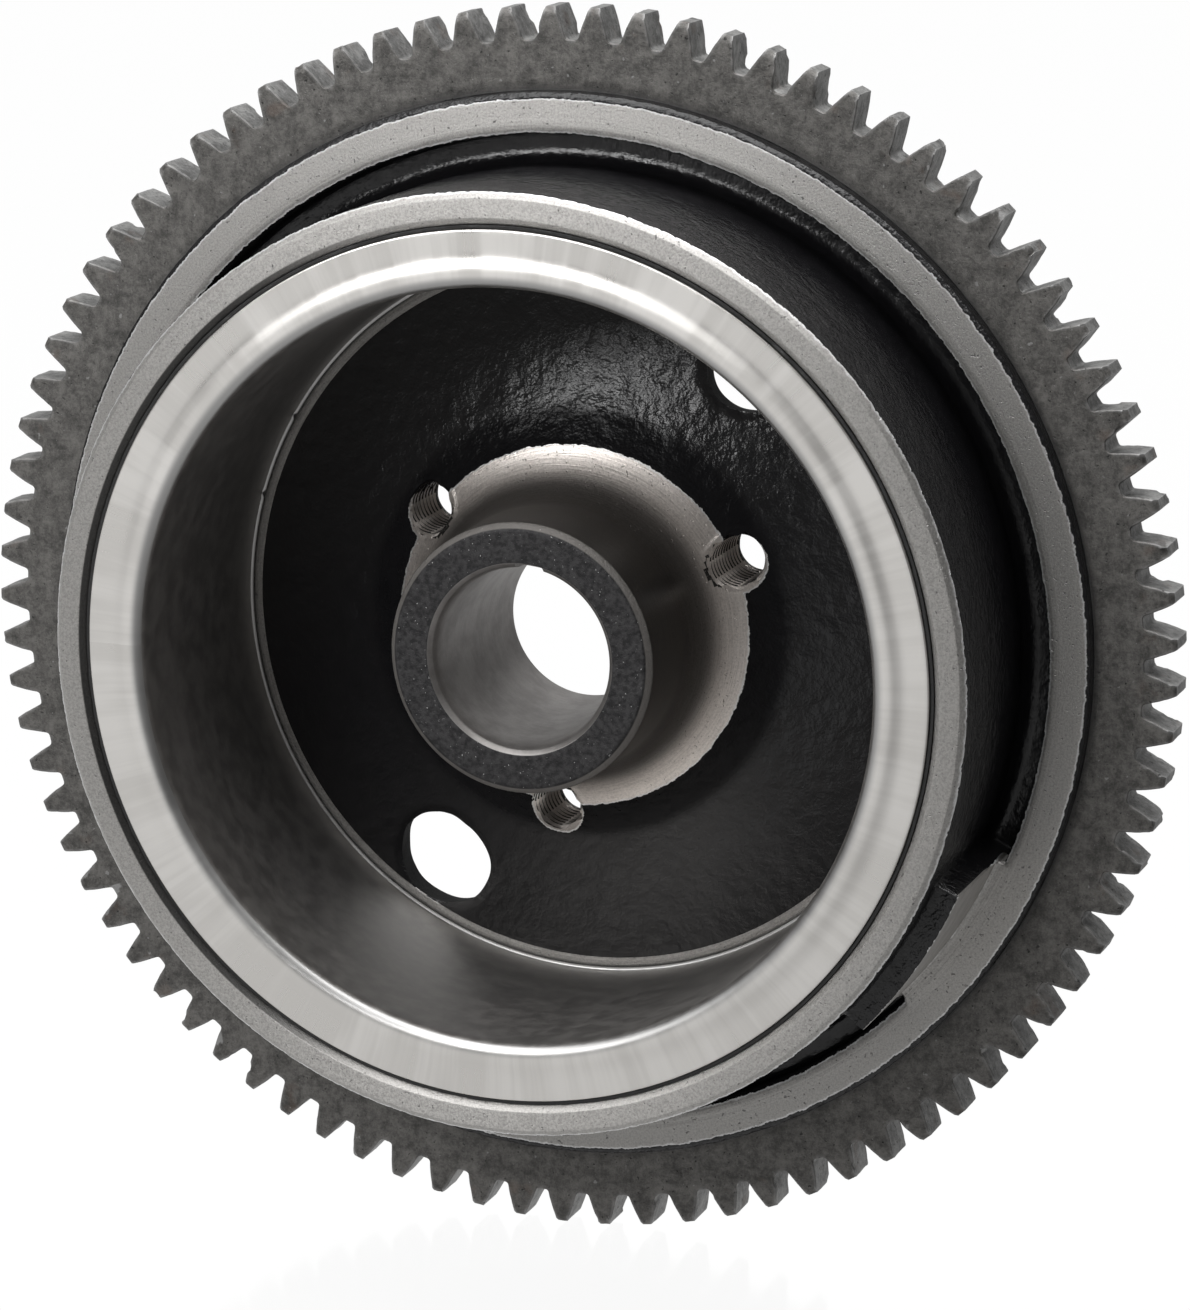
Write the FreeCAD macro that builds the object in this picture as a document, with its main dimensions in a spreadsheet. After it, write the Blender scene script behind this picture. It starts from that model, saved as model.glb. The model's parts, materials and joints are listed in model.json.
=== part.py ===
import FreeCAD, Part
import os
import re

import Sketcher
from FreeCAD import Placement, Rotation, Vector

# Magneto flywheel of a small engine with electric start.
#
# Row frame, millimetres: +Y is the spin axis and points to the nut side, the open stator side
# faces -Y, and +Z is up.
# The origin lies on the spin axis, in the plane of the ring gear's face on the open side.
# Angles are measured about the spin axis from +X towards +Z.
# Heights along the axis are positive towards the open side in names that end in _front,
# and positive towards the nut side in names that end in _back.

SIZES = {
    "hub": [
        ("hub_radius", 18.9, "outside of the hub"),
        ("hub_front", 19.8, "hub's end face"),
        ("hub_chamfer", 1.0, "outer edge of the hub's end face"),
        ("mouth_radius", 13.4, "crank bore, outer edge of its entry chamfer"),
        ("mouth_depth", 1.9, "length of the entry chamfer along the axis"),
        ("taper_large", 12.43, "crank taper radius at its large end"),
        ("taper_small", 11.5, "crank taper radius at its small end"),
        ("nut_face_back", 10.8, "flat face under the crank nut"),
        ("nut_edge", 0.5, "chamfer at the small end of the taper"),
        ("keyway_width", 4.0, "slot for the crank key"),
        ("keyway_radius", 13.2, "axis to the bottom of the slot"),
        ("keyway_start", 6.0, "radius inside the bore where the slot's cut starts"),
        ("keyway_angle", 84.0, "direction of the slot"),
    ],
    "web": [
        ("sweep_radius", 10.8, "concave turned sweep between hub and web"),
        ("sweep_edge", 25.75, "radius where the sweep runs out on the rough web"),
        ("sweep_back", 3.0, "web's front surface at the edge of the sweep"),
        ("sweep_start_front", 7.0, "where the sweep leaves the hub"),
        ("web_start", 31.0, "radius where the cast fillet round the sweep runs out"),
        ("web_start_back", 5.6, "web's front surface at that radius"),
        ("dish_back", 11.3, "web's front surface at the foot of the cup"),
        ("web_thickness", 5.0, "web, measured along the axis"),
        ("recess_radius", 20.0, "recess round the nut face"),
        ("boss_back", 16.0, "rear end of the boss that holds the puller holes"),
        ("boss_radius", 31.0, "outer edge of the boss's rear end"),
        ("boss_foot", 32.5, "radius where the boss meets the web's rear surface"),
        ("dish_outer", 50.0, "outer end of the web's rear surface"),
        ("puller_circle", 26.2, "radius of the circle of tapped puller holes"),
        ("puller_radius", 3.4, "tapping bore of an M8 thread"),
        ("puller_count", 3, "tapped holes"),
        ("puller_angle", 24.25, "direction of the first tapped hole"),
        ("low_vent_circle", 42.7, "axis to the middle of the lower vent hole"),
        ("low_vent_angle", 239.5, "direction of the lower vent hole"),
        ("low_vent_radius", 6.3, "lower vent hole, small end"),
        ("high_vent_circle", 44.4, "axis to the middle of the upper vent hole"),
        ("high_vent_angle", 57.2, "direction of the upper vent hole"),
        ("high_vent_radius", 6.0, "upper vent hole, small end"),
        ("vent_draft", 1.8, "how much wider a vent hole is at its rear end"),
    ],
    "cup and rim": [
        ("cup_radius", 64.9, "outside of the cup wall"),
        ("cup_front", 28.4, "cup's machined end face"),
        ("cup_chamfer", 0.8, "outer edge of the end face"),
        ("cup_bore", 60.5, "bore that holds the magnets"),
        ("cup_bore_chamfer", 0.9, "inner edge of the end face"),
        ("cup_floor_back", 12.0, "floor of the bore"),
        ("floor_step", 51.5, "inner radius of the floor"),
        ("channel_back", 3.0, "floor of the channel between cup and rim"),
        ("channel_fillet", 2.2, "fillet at the cup side of the channel"),
        ("rim_inner", 69.5, "inner edge of the rim's face"),
        ("rim_step", 1.0, "width of the bevel at that edge"),
        ("rim_step_depth", 0.4, "depth of that bevel"),
        ("rim_front", 2.7, "rim's machined face"),
        ("rim_chamfer", 0.55, "outer edge of the rim's face"),
        ("seat_radius", 75.2, "seat of the ring gear"),
        ("shoulder_radius", 78.5, "shoulder behind the ring gear"),
        ("rear_back", 18.0, "flat rear face"),
        ("rear_chamfer", 1.2, "outer edge of the rear face"),
        ("rear_inner", 52.0, "inner edge of the rear face"),
    ],
    "trigger lug": [
        ("lug_radius", 68.4, "turned outside of the lug"),
        ("lug_front", 22.0, "lug's end towards the open side"),
        ("lug_root", 63.5, "radius inside the cup wall where the lug starts"),
        ("lug_fill", 70.2, "radius to which the lug fills the channel"),
        ("lug_fill_front", 2.6, "front of that filling, a touch proud of the rim's bevel"),
        ("lug_span", 20.6, "angle that the lug covers"),
        ("lug_angle", -33.5, "direction of the lug's middle"),
    ],
    "ring gear": [
        ("tooth_count", 85, "teeth"),
        ("tooth_module", 2.0, "module"),
        ("pressure_angle", 20.0, "flank angle"),
        ("tip_radius", 87.0, "tooth tips: pitch radius plus one module"),
        ("pitch_radius", 85.0, "module times teeth over two"),
        ("root_radius", 82.5, "tooth roots: pitch radius less 1.25 modules"),
        ("first_tooth", 2.62, "direction of one tooth's middle"),
        ("gear_thickness", 6.5, "face width"),
        ("tip_chamfer", 0.6, "chamfer on the tips, pinion side"),
        ("tip_chamfer_rear", 0.3, "chamfer on the tips, far side"),
        ("cutter_clearance", 1.0, "how far a tooth gap is drawn past the tips"),
    ],
    "magnets": [
        ("magnet_count", 12, "poles"),
        ("magnet_inner", 52.7, "inside of a magnet"),
        ("magnet_outer", 60.4, "outside of a magnet"),
        ("magnet_front", 25.0, "front end of a magnet"),
        ("magnet_back", 9.0, "rear end of a magnet"),
        ("magnet_span", 26.0, "angle of one magnet"),
        ("rib_span", 3.8, "angle of one rib of the cage"),
        ("rib_overlap", 0.5, "how far a rib runs into the cage's ring"),
        ("cage_back", 11.8, "rear end of the cage"),
    ],
    "liner and potting": [
        ("liner_radius", 52.0, "inside of the liner"),
        ("sheet", 0.6, "thickness of the liner's sheet"),
        ("flange_outer", 59.9, "outer edge of the flange"),
        ("flange_front", 28.2, "face of the flange"),
        ("bead_outer", 55.9, "where the raised bead starts"),
        ("bead_top", 55.1, "where the bead reaches its full height"),
        ("bead_front", 28.6, "top of the bead"),
        ("bead_radius", 1.7, "round from the bead to the wall"),
        ("curl_start_back", 10.4, "where the rear edge starts to roll inwards"),
        ("liner_back", 11.2, "rear end of the liner"),
        ("curl_radius", 51.5, "inner edge of the rolled rear edge"),
        ("potting_front", 27.5, "potting behind the flange"),
        ("potting_lip_inner", 59.95, "inside of the thin potting lip round the flange"),
        ("potting_lip_front", 27.9, "front of that lip, set back from the cup's face"),
    ],
}

SMALLEST_CUT = 1.0  # mm3: a cut that takes away less than this has missed the body
SAME_PLACE = 0.0001  # mm: two points nearer than this are one

doc = FreeCAD.newDocument("flywheel")
sheet = doc.addObject("Spreadsheet::Sheet", "sizes")


def fill_sheet():
    """One row per driving dimension: its name, its value (with the name as alias) and what it is."""
    row = 1
    for group, entries in SIZES.items():
        sheet.set(f"A{row}", group)
        row += 1
        for alias, value, note in entries:
            sheet.set(f"A{row}", alias)
            sheet.set(f"B{row}", str(value))
            sheet.setAlias(f"B{row}", alias)
            sheet.set(f"C{row}", note)
            row += 1
    doc.recompute()


def bound(formula):
    """The formula with each size's name pointed at the sheet; names of functions and units stay."""
    return re.sub(r"\b([a-z]+_[a-z_]+|sheet)\b", r"sizes.\1", formula)


def value(formula):
    """What a formula of size names comes to, as a plain number."""
    result = sheet.evalExpression(bound(formula))
    return float(getattr(result, "Value", result))


# ---------------------------------------------------------------- sketch and body helpers


def new_body(label):
    body = doc.addObject("PartDesign::Body", label)
    body.Label = label
    return body


def plane(body, role):
    return next(f for f in body.Origin.OriginFeatures if f.Role == role)


def axis_line(body):
    """The body's own Y axis, which is the spin axis."""
    return next(f for f in body.Origin.OriginFeatures if f.Role == "Y_Axis")


def new_sketch(body, name, role, turned_by=None):
    """A sketch on one of the body's origin planes, turned about the spin axis if given an angle formula."""
    sketch = body.newObject("Sketcher::SketchObject", name)
    sketch.AttachmentSupport = [(plane(body, role), "")]
    sketch.MapMode = "FlatFace"
    if turned_by is not None:
        spin = Vector(0, -1, 0) if role == "XY_Plane" else Vector(0, 0, 1)
        sketch.AttachmentOffset = Placement(Vector(), Rotation(spin, value(turned_by)))
        sketch.setExpression("AttachmentOffset.Rotation.Angle", f"({bound(turned_by)}) * 1 deg")
    doc.recompute()
    return sketch


def pin(sketch, element, end, across, along):
    """Holds one end of a line at a place given by two formulas."""
    for kind, formula in (("DistanceX", across), ("DistanceY", along)):
        index = sketch.addConstraint(
            Sketcher.Constraint(kind, -1, 1, element, end, value(formula))
        )
        sketch.setExpression(f"Constraints[{index}]", bound(formula))


def bulge_point(start, finish, radius, side):
    """The middle of an arc between two points.

    Side +1 bulges to the left of the way from start to finish, -1 to the right."""
    chord = finish - start
    half = chord.Length / 2
    rise = radius - (radius**2 - half**2) ** 0.5
    left = Vector(-chord.y, chord.x, 0).normalize()
    return (start + finish) * 0.5 + left * rise * side


def closed_outline(sketch, corners):
    """A closed outline. Each corner is (across, along) or, where an arc leads on to the next corner,
    (across, along, radius, side), all but side being formulas of size names."""
    places = [Vector(value(c[0]), value(c[1]), 0) for c in corners]
    for i, corner in enumerate(corners):
        start, finish = places[i], places[(i + 1) % len(corners)]
        if len(corner) == 2:
            sketch.addGeometry(Part.LineSegment(start, finish), False)
        else:
            middle = bulge_point(start, finish, value(corner[2]), corner[3])
            sketch.addGeometry(Part.Arc(start, middle, finish), False)
    ends = [arc_ends(sketch, i, places[i]) for i in range(len(corners))]
    for i, corner in enumerate(corners):
        following = (i + 1) % len(corners)
        sketch.addConstraint(
            Sketcher.Constraint("Coincident", i, ends[i][1], following, ends[following][0])
        )
        pin(sketch, i, ends[i][0], corner[0], corner[1])
        if len(corner) == 4:
            index = sketch.addConstraint(Sketcher.Constraint("Radius", i, value(corner[2])))
            sketch.setExpression(f"Constraints[{index}]", bound(corner[2]))
    doc.recompute()


def arc_ends(sketch, element, start):
    """(number of the end at the start corner, number of the other end).

    An arc's ends can be stored either way round."""
    first = sketch.getPoint(element, 1)
    return (1, 2) if first.distanceToPoint(start) < SAME_PLACE else (2, 1)


def revolve(body, sketch, name, angle="360"):
    """Turns a sketch about the spin axis; less than a full turn is laid evenly to both its sides."""
    feature = body.newObject("PartDesign::Revolution", name)
    feature.Profile = sketch
    feature.ReferenceAxis = (sketch, ["V_Axis"])
    feature.Midplane = angle != "360"
    feature.Angle = value(angle)
    if angle != "360":
        feature.setExpression("Angle", f"({bound(angle)}) * 1 deg")
    sketch.Visibility = False
    doc.recompute()
    return feature


def must_have_cut(body, volume_before, name):
    """Stops if a cut took less than SMALLEST_CUT away."""
    if body.Shape.Volume > volume_before - SMALLEST_CUT:
        raise RuntimeError(f"{name} cut nothing")


def cut_through(body, sketch, name):
    """Pockets a sketch through the whole body, both ways."""
    before = body.Shape.Volume
    feature = body.newObject("PartDesign::Pocket", name)
    feature.Profile = sketch
    feature.Type = "ThroughAll"
    feature.Midplane = True
    doc.recompute()
    must_have_cut(body, before, name)
    return feature


def repeat_round_axis(body, feature, name, count):
    """Repeats a feature evenly round the spin axis."""
    pattern = body.newObject("PartDesign::PolarPattern", name)
    pattern.Originals = [feature]
    pattern.Axis = (axis_line(body), [""])
    pattern.Angle = 360
    pattern.Occurrences = int(value(count))
    pattern.setExpression("Occurrences", bound(count))
    body.Tip = pattern
    doc.recompute()
    return pattern


# ---------------------------------------------------------------- the casting


def web_back_at(radius):
    """Where the web's rear surface is at a radius: it runs parallel to the front surface."""
    slope = "(dish_back - web_start_back) / (floor_step - web_start)"
    return f"web_start_back + ({radius} - web_start) * {slope} + web_thickness"


def turned_casting(body):
    """Hub, sweep, web, cup, channel, rim and boss as one turned outline, from the crank bore round."""
    outline = [
        ("taper_large", "-hub_front + mouth_depth"),
        ("mouth_radius", "-hub_front"),
        ("hub_radius - hub_chamfer", "-hub_front"),
        ("hub_radius", "-hub_front + hub_chamfer"),
        ("hub_radius", "-sweep_start_front", "sweep_radius", 1),
        ("sweep_edge", "sweep_back"),
        ("web_start", "web_start_back"),
        ("floor_step", "dish_back"),
        ("floor_step + cup_floor_back - dish_back", "cup_floor_back"),
        ("cup_bore", "cup_floor_back"),
        ("cup_bore", "-cup_front + cup_bore_chamfer"),
        ("cup_bore + cup_bore_chamfer", "-cup_front"),
        ("cup_radius - cup_chamfer", "-cup_front"),
        ("cup_radius", "-cup_front + cup_chamfer"),
        ("cup_radius", "channel_back - channel_fillet", "channel_fillet", 1),
        ("cup_radius + channel_fillet", "channel_back"),
        ("rim_inner", "channel_back"),
        ("rim_inner", "-rim_front + rim_step_depth"),
        ("rim_inner + rim_step", "-rim_front"),
        ("seat_radius - rim_chamfer", "-rim_front"),
        ("seat_radius", "-rim_front + rim_chamfer"),
        ("seat_radius", "gear_thickness"),
        ("shoulder_radius", "gear_thickness"),
        ("shoulder_radius", "rear_back - rear_chamfer"),
        ("shoulder_radius - rear_chamfer", "rear_back"),
        ("rear_inner", "rear_back"),
        ("dish_outer", web_back_at("dish_outer")),
        ("boss_foot", web_back_at("boss_foot")),
        ("boss_radius", "boss_back"),
        ("recess_radius + nut_edge", "boss_back"),
        ("recess_radius", "boss_back - nut_edge"),
        ("recess_radius", "nut_face_back"),
        ("taper_small + nut_edge", "nut_face_back"),
        ("taper_small", "nut_face_back - nut_edge"),
    ]
    sketch = new_sketch(body, "casting_outline", "XY_Plane")
    closed_outline(sketch, outline)
    revolve(body, sketch, "turned_casting")


def trigger_lug(body):
    """The raised block on the cup wall that passes the trigger coil; at its foot it fills the channel."""
    outline = [
        ("lug_root", "-lug_front"),
        ("lug_radius", "-lug_front"),
        ("lug_radius", "-rim_front"),
        ("lug_fill", "-lug_fill_front"),
        ("lug_fill", "channel_back + channel_fillet"),
        ("lug_root", "channel_back + channel_fillet"),
    ]
    sketch = new_sketch(body, "lug_outline", "XY_Plane", turned_by="lug_angle")
    closed_outline(sketch, outline)
    revolve(body, sketch, "trigger_lug", "lug_span")


def drilled_sketch(body, name, circle, angle, radius):
    """A sketch across the axis with one round hole at a distance from the axis."""
    sketch = new_sketch(body, name, "XZ_Plane", turned_by=angle)
    centre = Vector(value(circle), 0, 0)
    sketch.addGeometry(Part.Circle(centre, Vector(0, 0, 1), value(radius)), False)
    sketch.addConstraint(Sketcher.Constraint("PointOnObject", 0, 3, -1))
    for kind, formula in (("DistanceX", circle), ("Radius", radius)):
        if kind == "Radius":
            constraint = Sketcher.Constraint(kind, 0, value(formula))
        else:
            constraint = Sketcher.Constraint(kind, -1, 1, 0, 3, value(formula))
        index = sketch.addConstraint(constraint)
        sketch.setExpression(f"Constraints[{index}]", bound(formula))
    doc.recompute()
    return sketch


def puller_holes(body):
    sketch = drilled_sketch(body, "puller_circle_sketch", "puller_circle", "puller_angle", "puller_radius")
    hole = cut_through(body, sketch, "puller_hole")
    repeat_round_axis(body, hole, "puller_holes", "puller_count")


def vent_hole(body, name):
    """A cast hole with draft: a cone from the web's front to the rear face, wider at the nut side."""
    before = body.Shape.Volume
    cone = body.newObject("PartDesign::SubtractiveCone", name)
    across = f"{bound(name + '_circle')}"
    angle = f"({bound(name + '_angle')}) * 1 deg"
    cone.Placement = Placement(Vector(), Rotation(Vector(1, 0, 0), 90))
    cone.setExpression("Radius1", bound(f"{name}_radius + vent_draft"))
    cone.setExpression("Radius2", bound(f"{name}_radius"))
    cone.setExpression("Height", bound("rear_back - sweep_back"))
    cone.setExpression("Placement.Base.x", f"{across} * cos({angle})")
    cone.setExpression("Placement.Base.y", bound("rear_back"))
    cone.setExpression("Placement.Base.z", f"{across} * sin({angle})")
    doc.recompute()
    must_have_cut(body, before, name)


def keyway(body):
    """A straight slot along the whole crank bore."""
    sketch = new_sketch(body, "keyway_outline", "XZ_Plane", turned_by="keyway_angle")
    corners = [
        ("keyway_start", "-keyway_width / 2"),
        ("keyway_radius", "-keyway_width / 2"),
        ("keyway_radius", "keyway_width / 2"),
        ("keyway_start", "keyway_width / 2"),
    ]
    closed_outline(sketch, corners)
    cut_through(body, sketch, "keyway")


def flywheel_casting():
    body = new_body("flywheel_casting")
    turned_casting(body)
    trigger_lug(body)
    keyway(body)
    vent_hole(body, "low_vent")
    vent_hole(body, "high_vent")
    puller_holes(body)
    return body


# ---------------------------------------------------------------- the ring gear


def gap_half_width(radius):
    """Half the width of a tooth gap at a radius, with straight flanks at the pressure angle."""
    return f"pi * tooth_module / 4 + ({radius} - pitch_radius) * tan(pressure_angle * 1 deg)"


def ring_gear():
    body = new_body("ring_gear")
    blank = [
        ("seat_radius", "0"),
        ("tip_radius - tip_chamfer", "0"),
        ("tip_radius", "tip_chamfer"),
        ("tip_radius", "gear_thickness - tip_chamfer_rear"),
        ("tip_radius - tip_chamfer_rear", "gear_thickness"),
        ("seat_radius", "gear_thickness"),
    ]
    sketch = new_sketch(body, "blank_outline", "XY_Plane")
    closed_outline(sketch, blank)
    revolve(body, sketch, "gear_blank")

    outside = "tip_radius + cutter_clearance"
    at_root, at_outside = gap_half_width("root_radius"), gap_half_width(outside)
    first_gap = "first_tooth + 180 / tooth_count"
    sketch = new_sketch(body, "gap_outline", "XZ_Plane", turned_by=first_gap)
    corners = [
        ("root_radius", f"-({at_root})"),
        (outside, f"-({at_outside})"),
        (outside, at_outside),
        ("root_radius", at_root),
    ]
    closed_outline(sketch, corners)
    gap = cut_through(body, sketch, "tooth_gap")
    repeat_round_axis(body, gap, "tooth_gaps", "tooth_count")
    return body


# ---------------------------------------------------------------- magnets, cage, liner, potting


def ring_sector(body, name, inner, outer, front, back, span, turned_by):
    """A block of rectangular section bent round the axis over an angle."""
    sketch = new_sketch(body, f"{name}_section", "XY_Plane", turned_by=turned_by)
    closed_outline(sketch, [(inner, front), (outer, front), (outer, back), (inner, back)])
    return revolve(body, sketch, name, span)


def magnet(number):
    """One arc magnet. They stand side by side round the cup, north and south poles taking turns."""
    body = new_body(f"magnet_{number:02d}")
    middle = f"{number - 0.5} * 360 / magnet_count"
    ring_sector(
        body, f"arc_{number:02d}", "magnet_inner", "magnet_outer",
        "-magnet_front", "magnet_back", "magnet_span", middle,
    )
    return body


def magnet_cage():
    """The moulded spacer: a ring behind the magnets with a rib in each gap between two magnets."""
    body = new_body("magnet_cage")
    sketch = new_sketch(body, "cage_ring_outline", "XY_Plane")
    ring = [
        ("magnet_inner", "magnet_back"),
        ("magnet_outer", "magnet_back"),
        ("magnet_outer", "cage_back"),
        ("magnet_inner", "cage_back"),
    ]
    closed_outline(sketch, ring)
    revolve(body, sketch, "cage_ring")
    rib = ring_sector(
        body, "cage_rib", "magnet_inner", "magnet_outer",
        "-magnet_front", "magnet_back + rib_overlap", "rib_span", "360 / magnet_count",
    )
    repeat_round_axis(body, rib, "cage_ribs", "magnet_count")
    return body


def magnet_liner():
    """Polished sheet ring: flange over the magnets' ends, raised bead, wall, rear edge rolled inwards."""
    body = new_body("magnet_liner")
    outline = [
        ("flange_outer", "-flange_front"),
        ("flange_outer", "-flange_front + sheet"),
        ("liner_radius + sheet", "-flange_front + sheet"),
        ("liner_radius + sheet", "liner_back"),
        ("curl_radius", "liner_back"),
        ("curl_radius", "liner_back - sheet / 2"),
        ("liner_radius", "curl_start_back"),
        ("liner_radius", "-bead_front + bead_radius", "bead_radius", -1),
        ("liner_radius + bead_radius", "-bead_front"),
        ("bead_top", "-bead_front"),
        ("bead_outer", "-flange_front"),
    ]
    sketch = new_sketch(body, "liner_outline", "XY_Plane")
    closed_outline(sketch, outline)
    revolve(body, sketch, "liner")
    return body


def potting_ring():
    """Black resin that seals the magnets' front ends; a thin lip of it shows round the liner's flange."""
    body = new_body("potting_ring")
    outline = [
        ("liner_radius + sheet", "-magnet_front"),
        ("liner_radius + sheet", "-potting_front"),
        ("potting_lip_inner", "-potting_front"),
        ("potting_lip_inner", "-potting_lip_front"),
        ("cup_bore", "-potting_lip_front"),
        ("cup_bore", "-magnet_front"),
    ]
    sketch = new_sketch(body, "potting_outline", "XY_Plane")
    closed_outline(sketch, outline)
    revolve(body, sketch, "potting")
    return body


# ---------------------------------------------------------------- check and write


def check_document():
    """Stops if any object of the document failed to compute."""
    doc.recompute()
    for item in doc.Objects:
        if "Invalid" in item.State or "Error" in item.State:
            raise RuntimeError(f"{item.Name} failed: {item.State}")


def write_parts(bodies):
    os.makedirs("parts", exist_ok=True)
    for body in bodies:
        shape = body.Shape
        if shape.isNull() or not shape.isValid() or len(shape.Solids) != 1:
            raise RuntimeError(f"{body.Label} isn't one valid solid")
        shape.exportStep(f"parts/{body.Label}.step")
        print(f"{body.Label}: {shape.Volume:.0f} mm3")


fill_sheet()
parts = [flywheel_casting(), ring_gear(), magnet_liner(), potting_ring(), magnet_cage()]
parts += [magnet(number) for number in range(1, int(value("magnet_count")) + 1)]
check_document()
write_parts(parts)
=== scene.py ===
"""Looks of the magneto flywheel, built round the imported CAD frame.

Sizes are in millimetres until make_mesh() turns them into metres. Radii are measured from the spin axis,
y is the height along it (-y is the open stator side) and angles run from +x towards +z.
"""

import functools
import itertools
import json
import math

import bmesh
import bpy
import numpy as np
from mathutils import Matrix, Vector

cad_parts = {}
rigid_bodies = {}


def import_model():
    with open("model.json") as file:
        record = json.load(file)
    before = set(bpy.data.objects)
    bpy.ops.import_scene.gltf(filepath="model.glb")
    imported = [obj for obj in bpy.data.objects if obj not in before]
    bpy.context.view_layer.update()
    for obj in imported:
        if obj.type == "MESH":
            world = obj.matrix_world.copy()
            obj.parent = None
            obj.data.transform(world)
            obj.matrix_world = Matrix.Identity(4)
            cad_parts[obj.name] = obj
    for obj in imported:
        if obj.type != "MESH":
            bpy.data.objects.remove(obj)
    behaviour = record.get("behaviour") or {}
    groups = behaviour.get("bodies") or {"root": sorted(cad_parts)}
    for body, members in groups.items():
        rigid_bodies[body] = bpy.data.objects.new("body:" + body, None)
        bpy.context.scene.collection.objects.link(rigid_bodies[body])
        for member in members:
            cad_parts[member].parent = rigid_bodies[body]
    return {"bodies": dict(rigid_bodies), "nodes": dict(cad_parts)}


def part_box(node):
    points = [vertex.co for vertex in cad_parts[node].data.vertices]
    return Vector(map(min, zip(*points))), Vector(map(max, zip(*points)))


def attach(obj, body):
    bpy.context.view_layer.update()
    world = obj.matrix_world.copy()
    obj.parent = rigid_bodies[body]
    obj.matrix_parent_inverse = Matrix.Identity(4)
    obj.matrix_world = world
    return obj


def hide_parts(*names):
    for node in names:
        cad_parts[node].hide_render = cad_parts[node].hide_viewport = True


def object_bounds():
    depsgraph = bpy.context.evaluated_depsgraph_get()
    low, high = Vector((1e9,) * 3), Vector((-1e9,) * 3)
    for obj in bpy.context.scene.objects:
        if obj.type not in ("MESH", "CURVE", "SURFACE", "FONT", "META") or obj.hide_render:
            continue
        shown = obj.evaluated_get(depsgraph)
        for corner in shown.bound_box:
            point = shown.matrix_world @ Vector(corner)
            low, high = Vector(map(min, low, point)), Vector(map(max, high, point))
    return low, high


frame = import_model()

MM = 0.001
BODY = next(iter(frame["bodies"]))
cad_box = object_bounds()

# ---- sizes
# Outer sizes are read off the frame. The sizes between them are the CAD's design values.


def reach(node):
    """A CAD node's greatest radius, lowest y and highest y, in mm."""
    low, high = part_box(node)
    return high.x / MM, low.y / MM, high.y / MM


TIP_RADIUS, GEAR_FRONT, GEAR_BACK = reach("ring_gear")
_, CUP_FACE, REAR_FACE = reach("flywheel_casting")
FLANGE_OUTER, LINER_FRONT, LINER_END = reach("magnet_liner")
CUP_BORE, POTTING_FRONT, POTTING_BACK = reach("potting_ring")

HUB_RADIUS, HUB_FACE, HUB_CHAMFER = 18.9, -19.8, 1.0
MOUTH_RADIUS, TAPER_LARGE, TAPER_SMALL, MOUTH_DEPTH = 13.4, 12.43, 11.5, 1.9
NUT_FACE, NUT_EDGE, RECESS_RADIUS = 10.8, 0.5, 20.0
BOSS_BACK, BOSS_RADIUS, BOSS_FOOT = 16.0, 31.0, 32.5
WEB_THICKNESS, DISH_OUTER, REAR_INNER = 5.0, 50.0, 52.0
SWEEP_RADIUS, SWEEP_START, SWEEP_EDGE, SWEEP_END = 10.8, -7.0, 25.75, 3.0
WEB_FILLET, FILLET_DEPTH = 4.0, 1.8
FLOOR_STEP, DISH_Y, CUP_FLOOR = 51.5, 11.3, 12.0
CUP_RADIUS, CUP_CHAMFER, CUP_BORE_CHAMFER = 64.9, 0.8, 0.9
CHANNEL_FLOOR, CHANNEL_FILLET, RIM_CORNER = 3.0, 2.2, 0.6
RIM_FACE, RIM_INNER, RIM_STEP, SEAT_RADIUS, RIM_CHAMFER = -2.7, 69.5, 1.0, 75.2, 0.55
SHOULDER_RADIUS, REAR_CHAMFER = 78.5, 1.2
LUG_RADIUS, LUG_FACE = 68.4, -22.0
LUG_MIDDLE, LUG_SPAN, LUG_FADE = math.radians(-33.5), math.radians(20.6), math.radians(0.45)
KEY_WIDTH, KEY_RADIUS, KEY_ANGLE = 4.0, 13.2, math.radians(84)
PULLER_CIRCLE, PULLER_MINOR, PULLER_MAJOR, PULLER_PITCH = 26.2, 3.4, 4.0, 1.25
PULLER_ANGLES = [math.radians(24.25 + 120 * i) for i in range(3)]
VENTS = [(42.7, math.radians(239.5), 6.3), (44.4, math.radians(57.2), 6.0)]  # circle, angle, radius
VENT_DRAFT = 1.8
TEETH, PITCH_RADIUS, ROOT_RADIUS = 85, 85.0, 82.5
FIRST_TOOTH, TIP_CHAMFER = math.radians(2.62), 0.6
LINER_WALL, SHEET, FLANGE_FACE = 52.0, 0.6, -28.2
BEAD_OUTER, BEAD_TOP, BEAD_ROUND, CURL_START, CURL_RADIUS = 55.9, 55.1, 1.7, 10.4, 51.5


def web_front(radius):
    """Height of the web's front surface: a shallow cone that a cast fillet leads into from the sweep."""
    out = radius - SWEEP_EDGE
    slope = (DISH_Y - SWEEP_END - FILLET_DEPTH) / (FLOOR_STEP - SWEEP_EDGE)
    return SWEEP_END + slope * out + FILLET_DEPTH * (1 - math.exp(-out / WEB_FILLET))


# ---- outlines and grids


def smooth_step(x, low, high):
    t = np.clip((x - low) / (high - low), 0, 1)
    return t * t * (3 - 2 * t)


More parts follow.
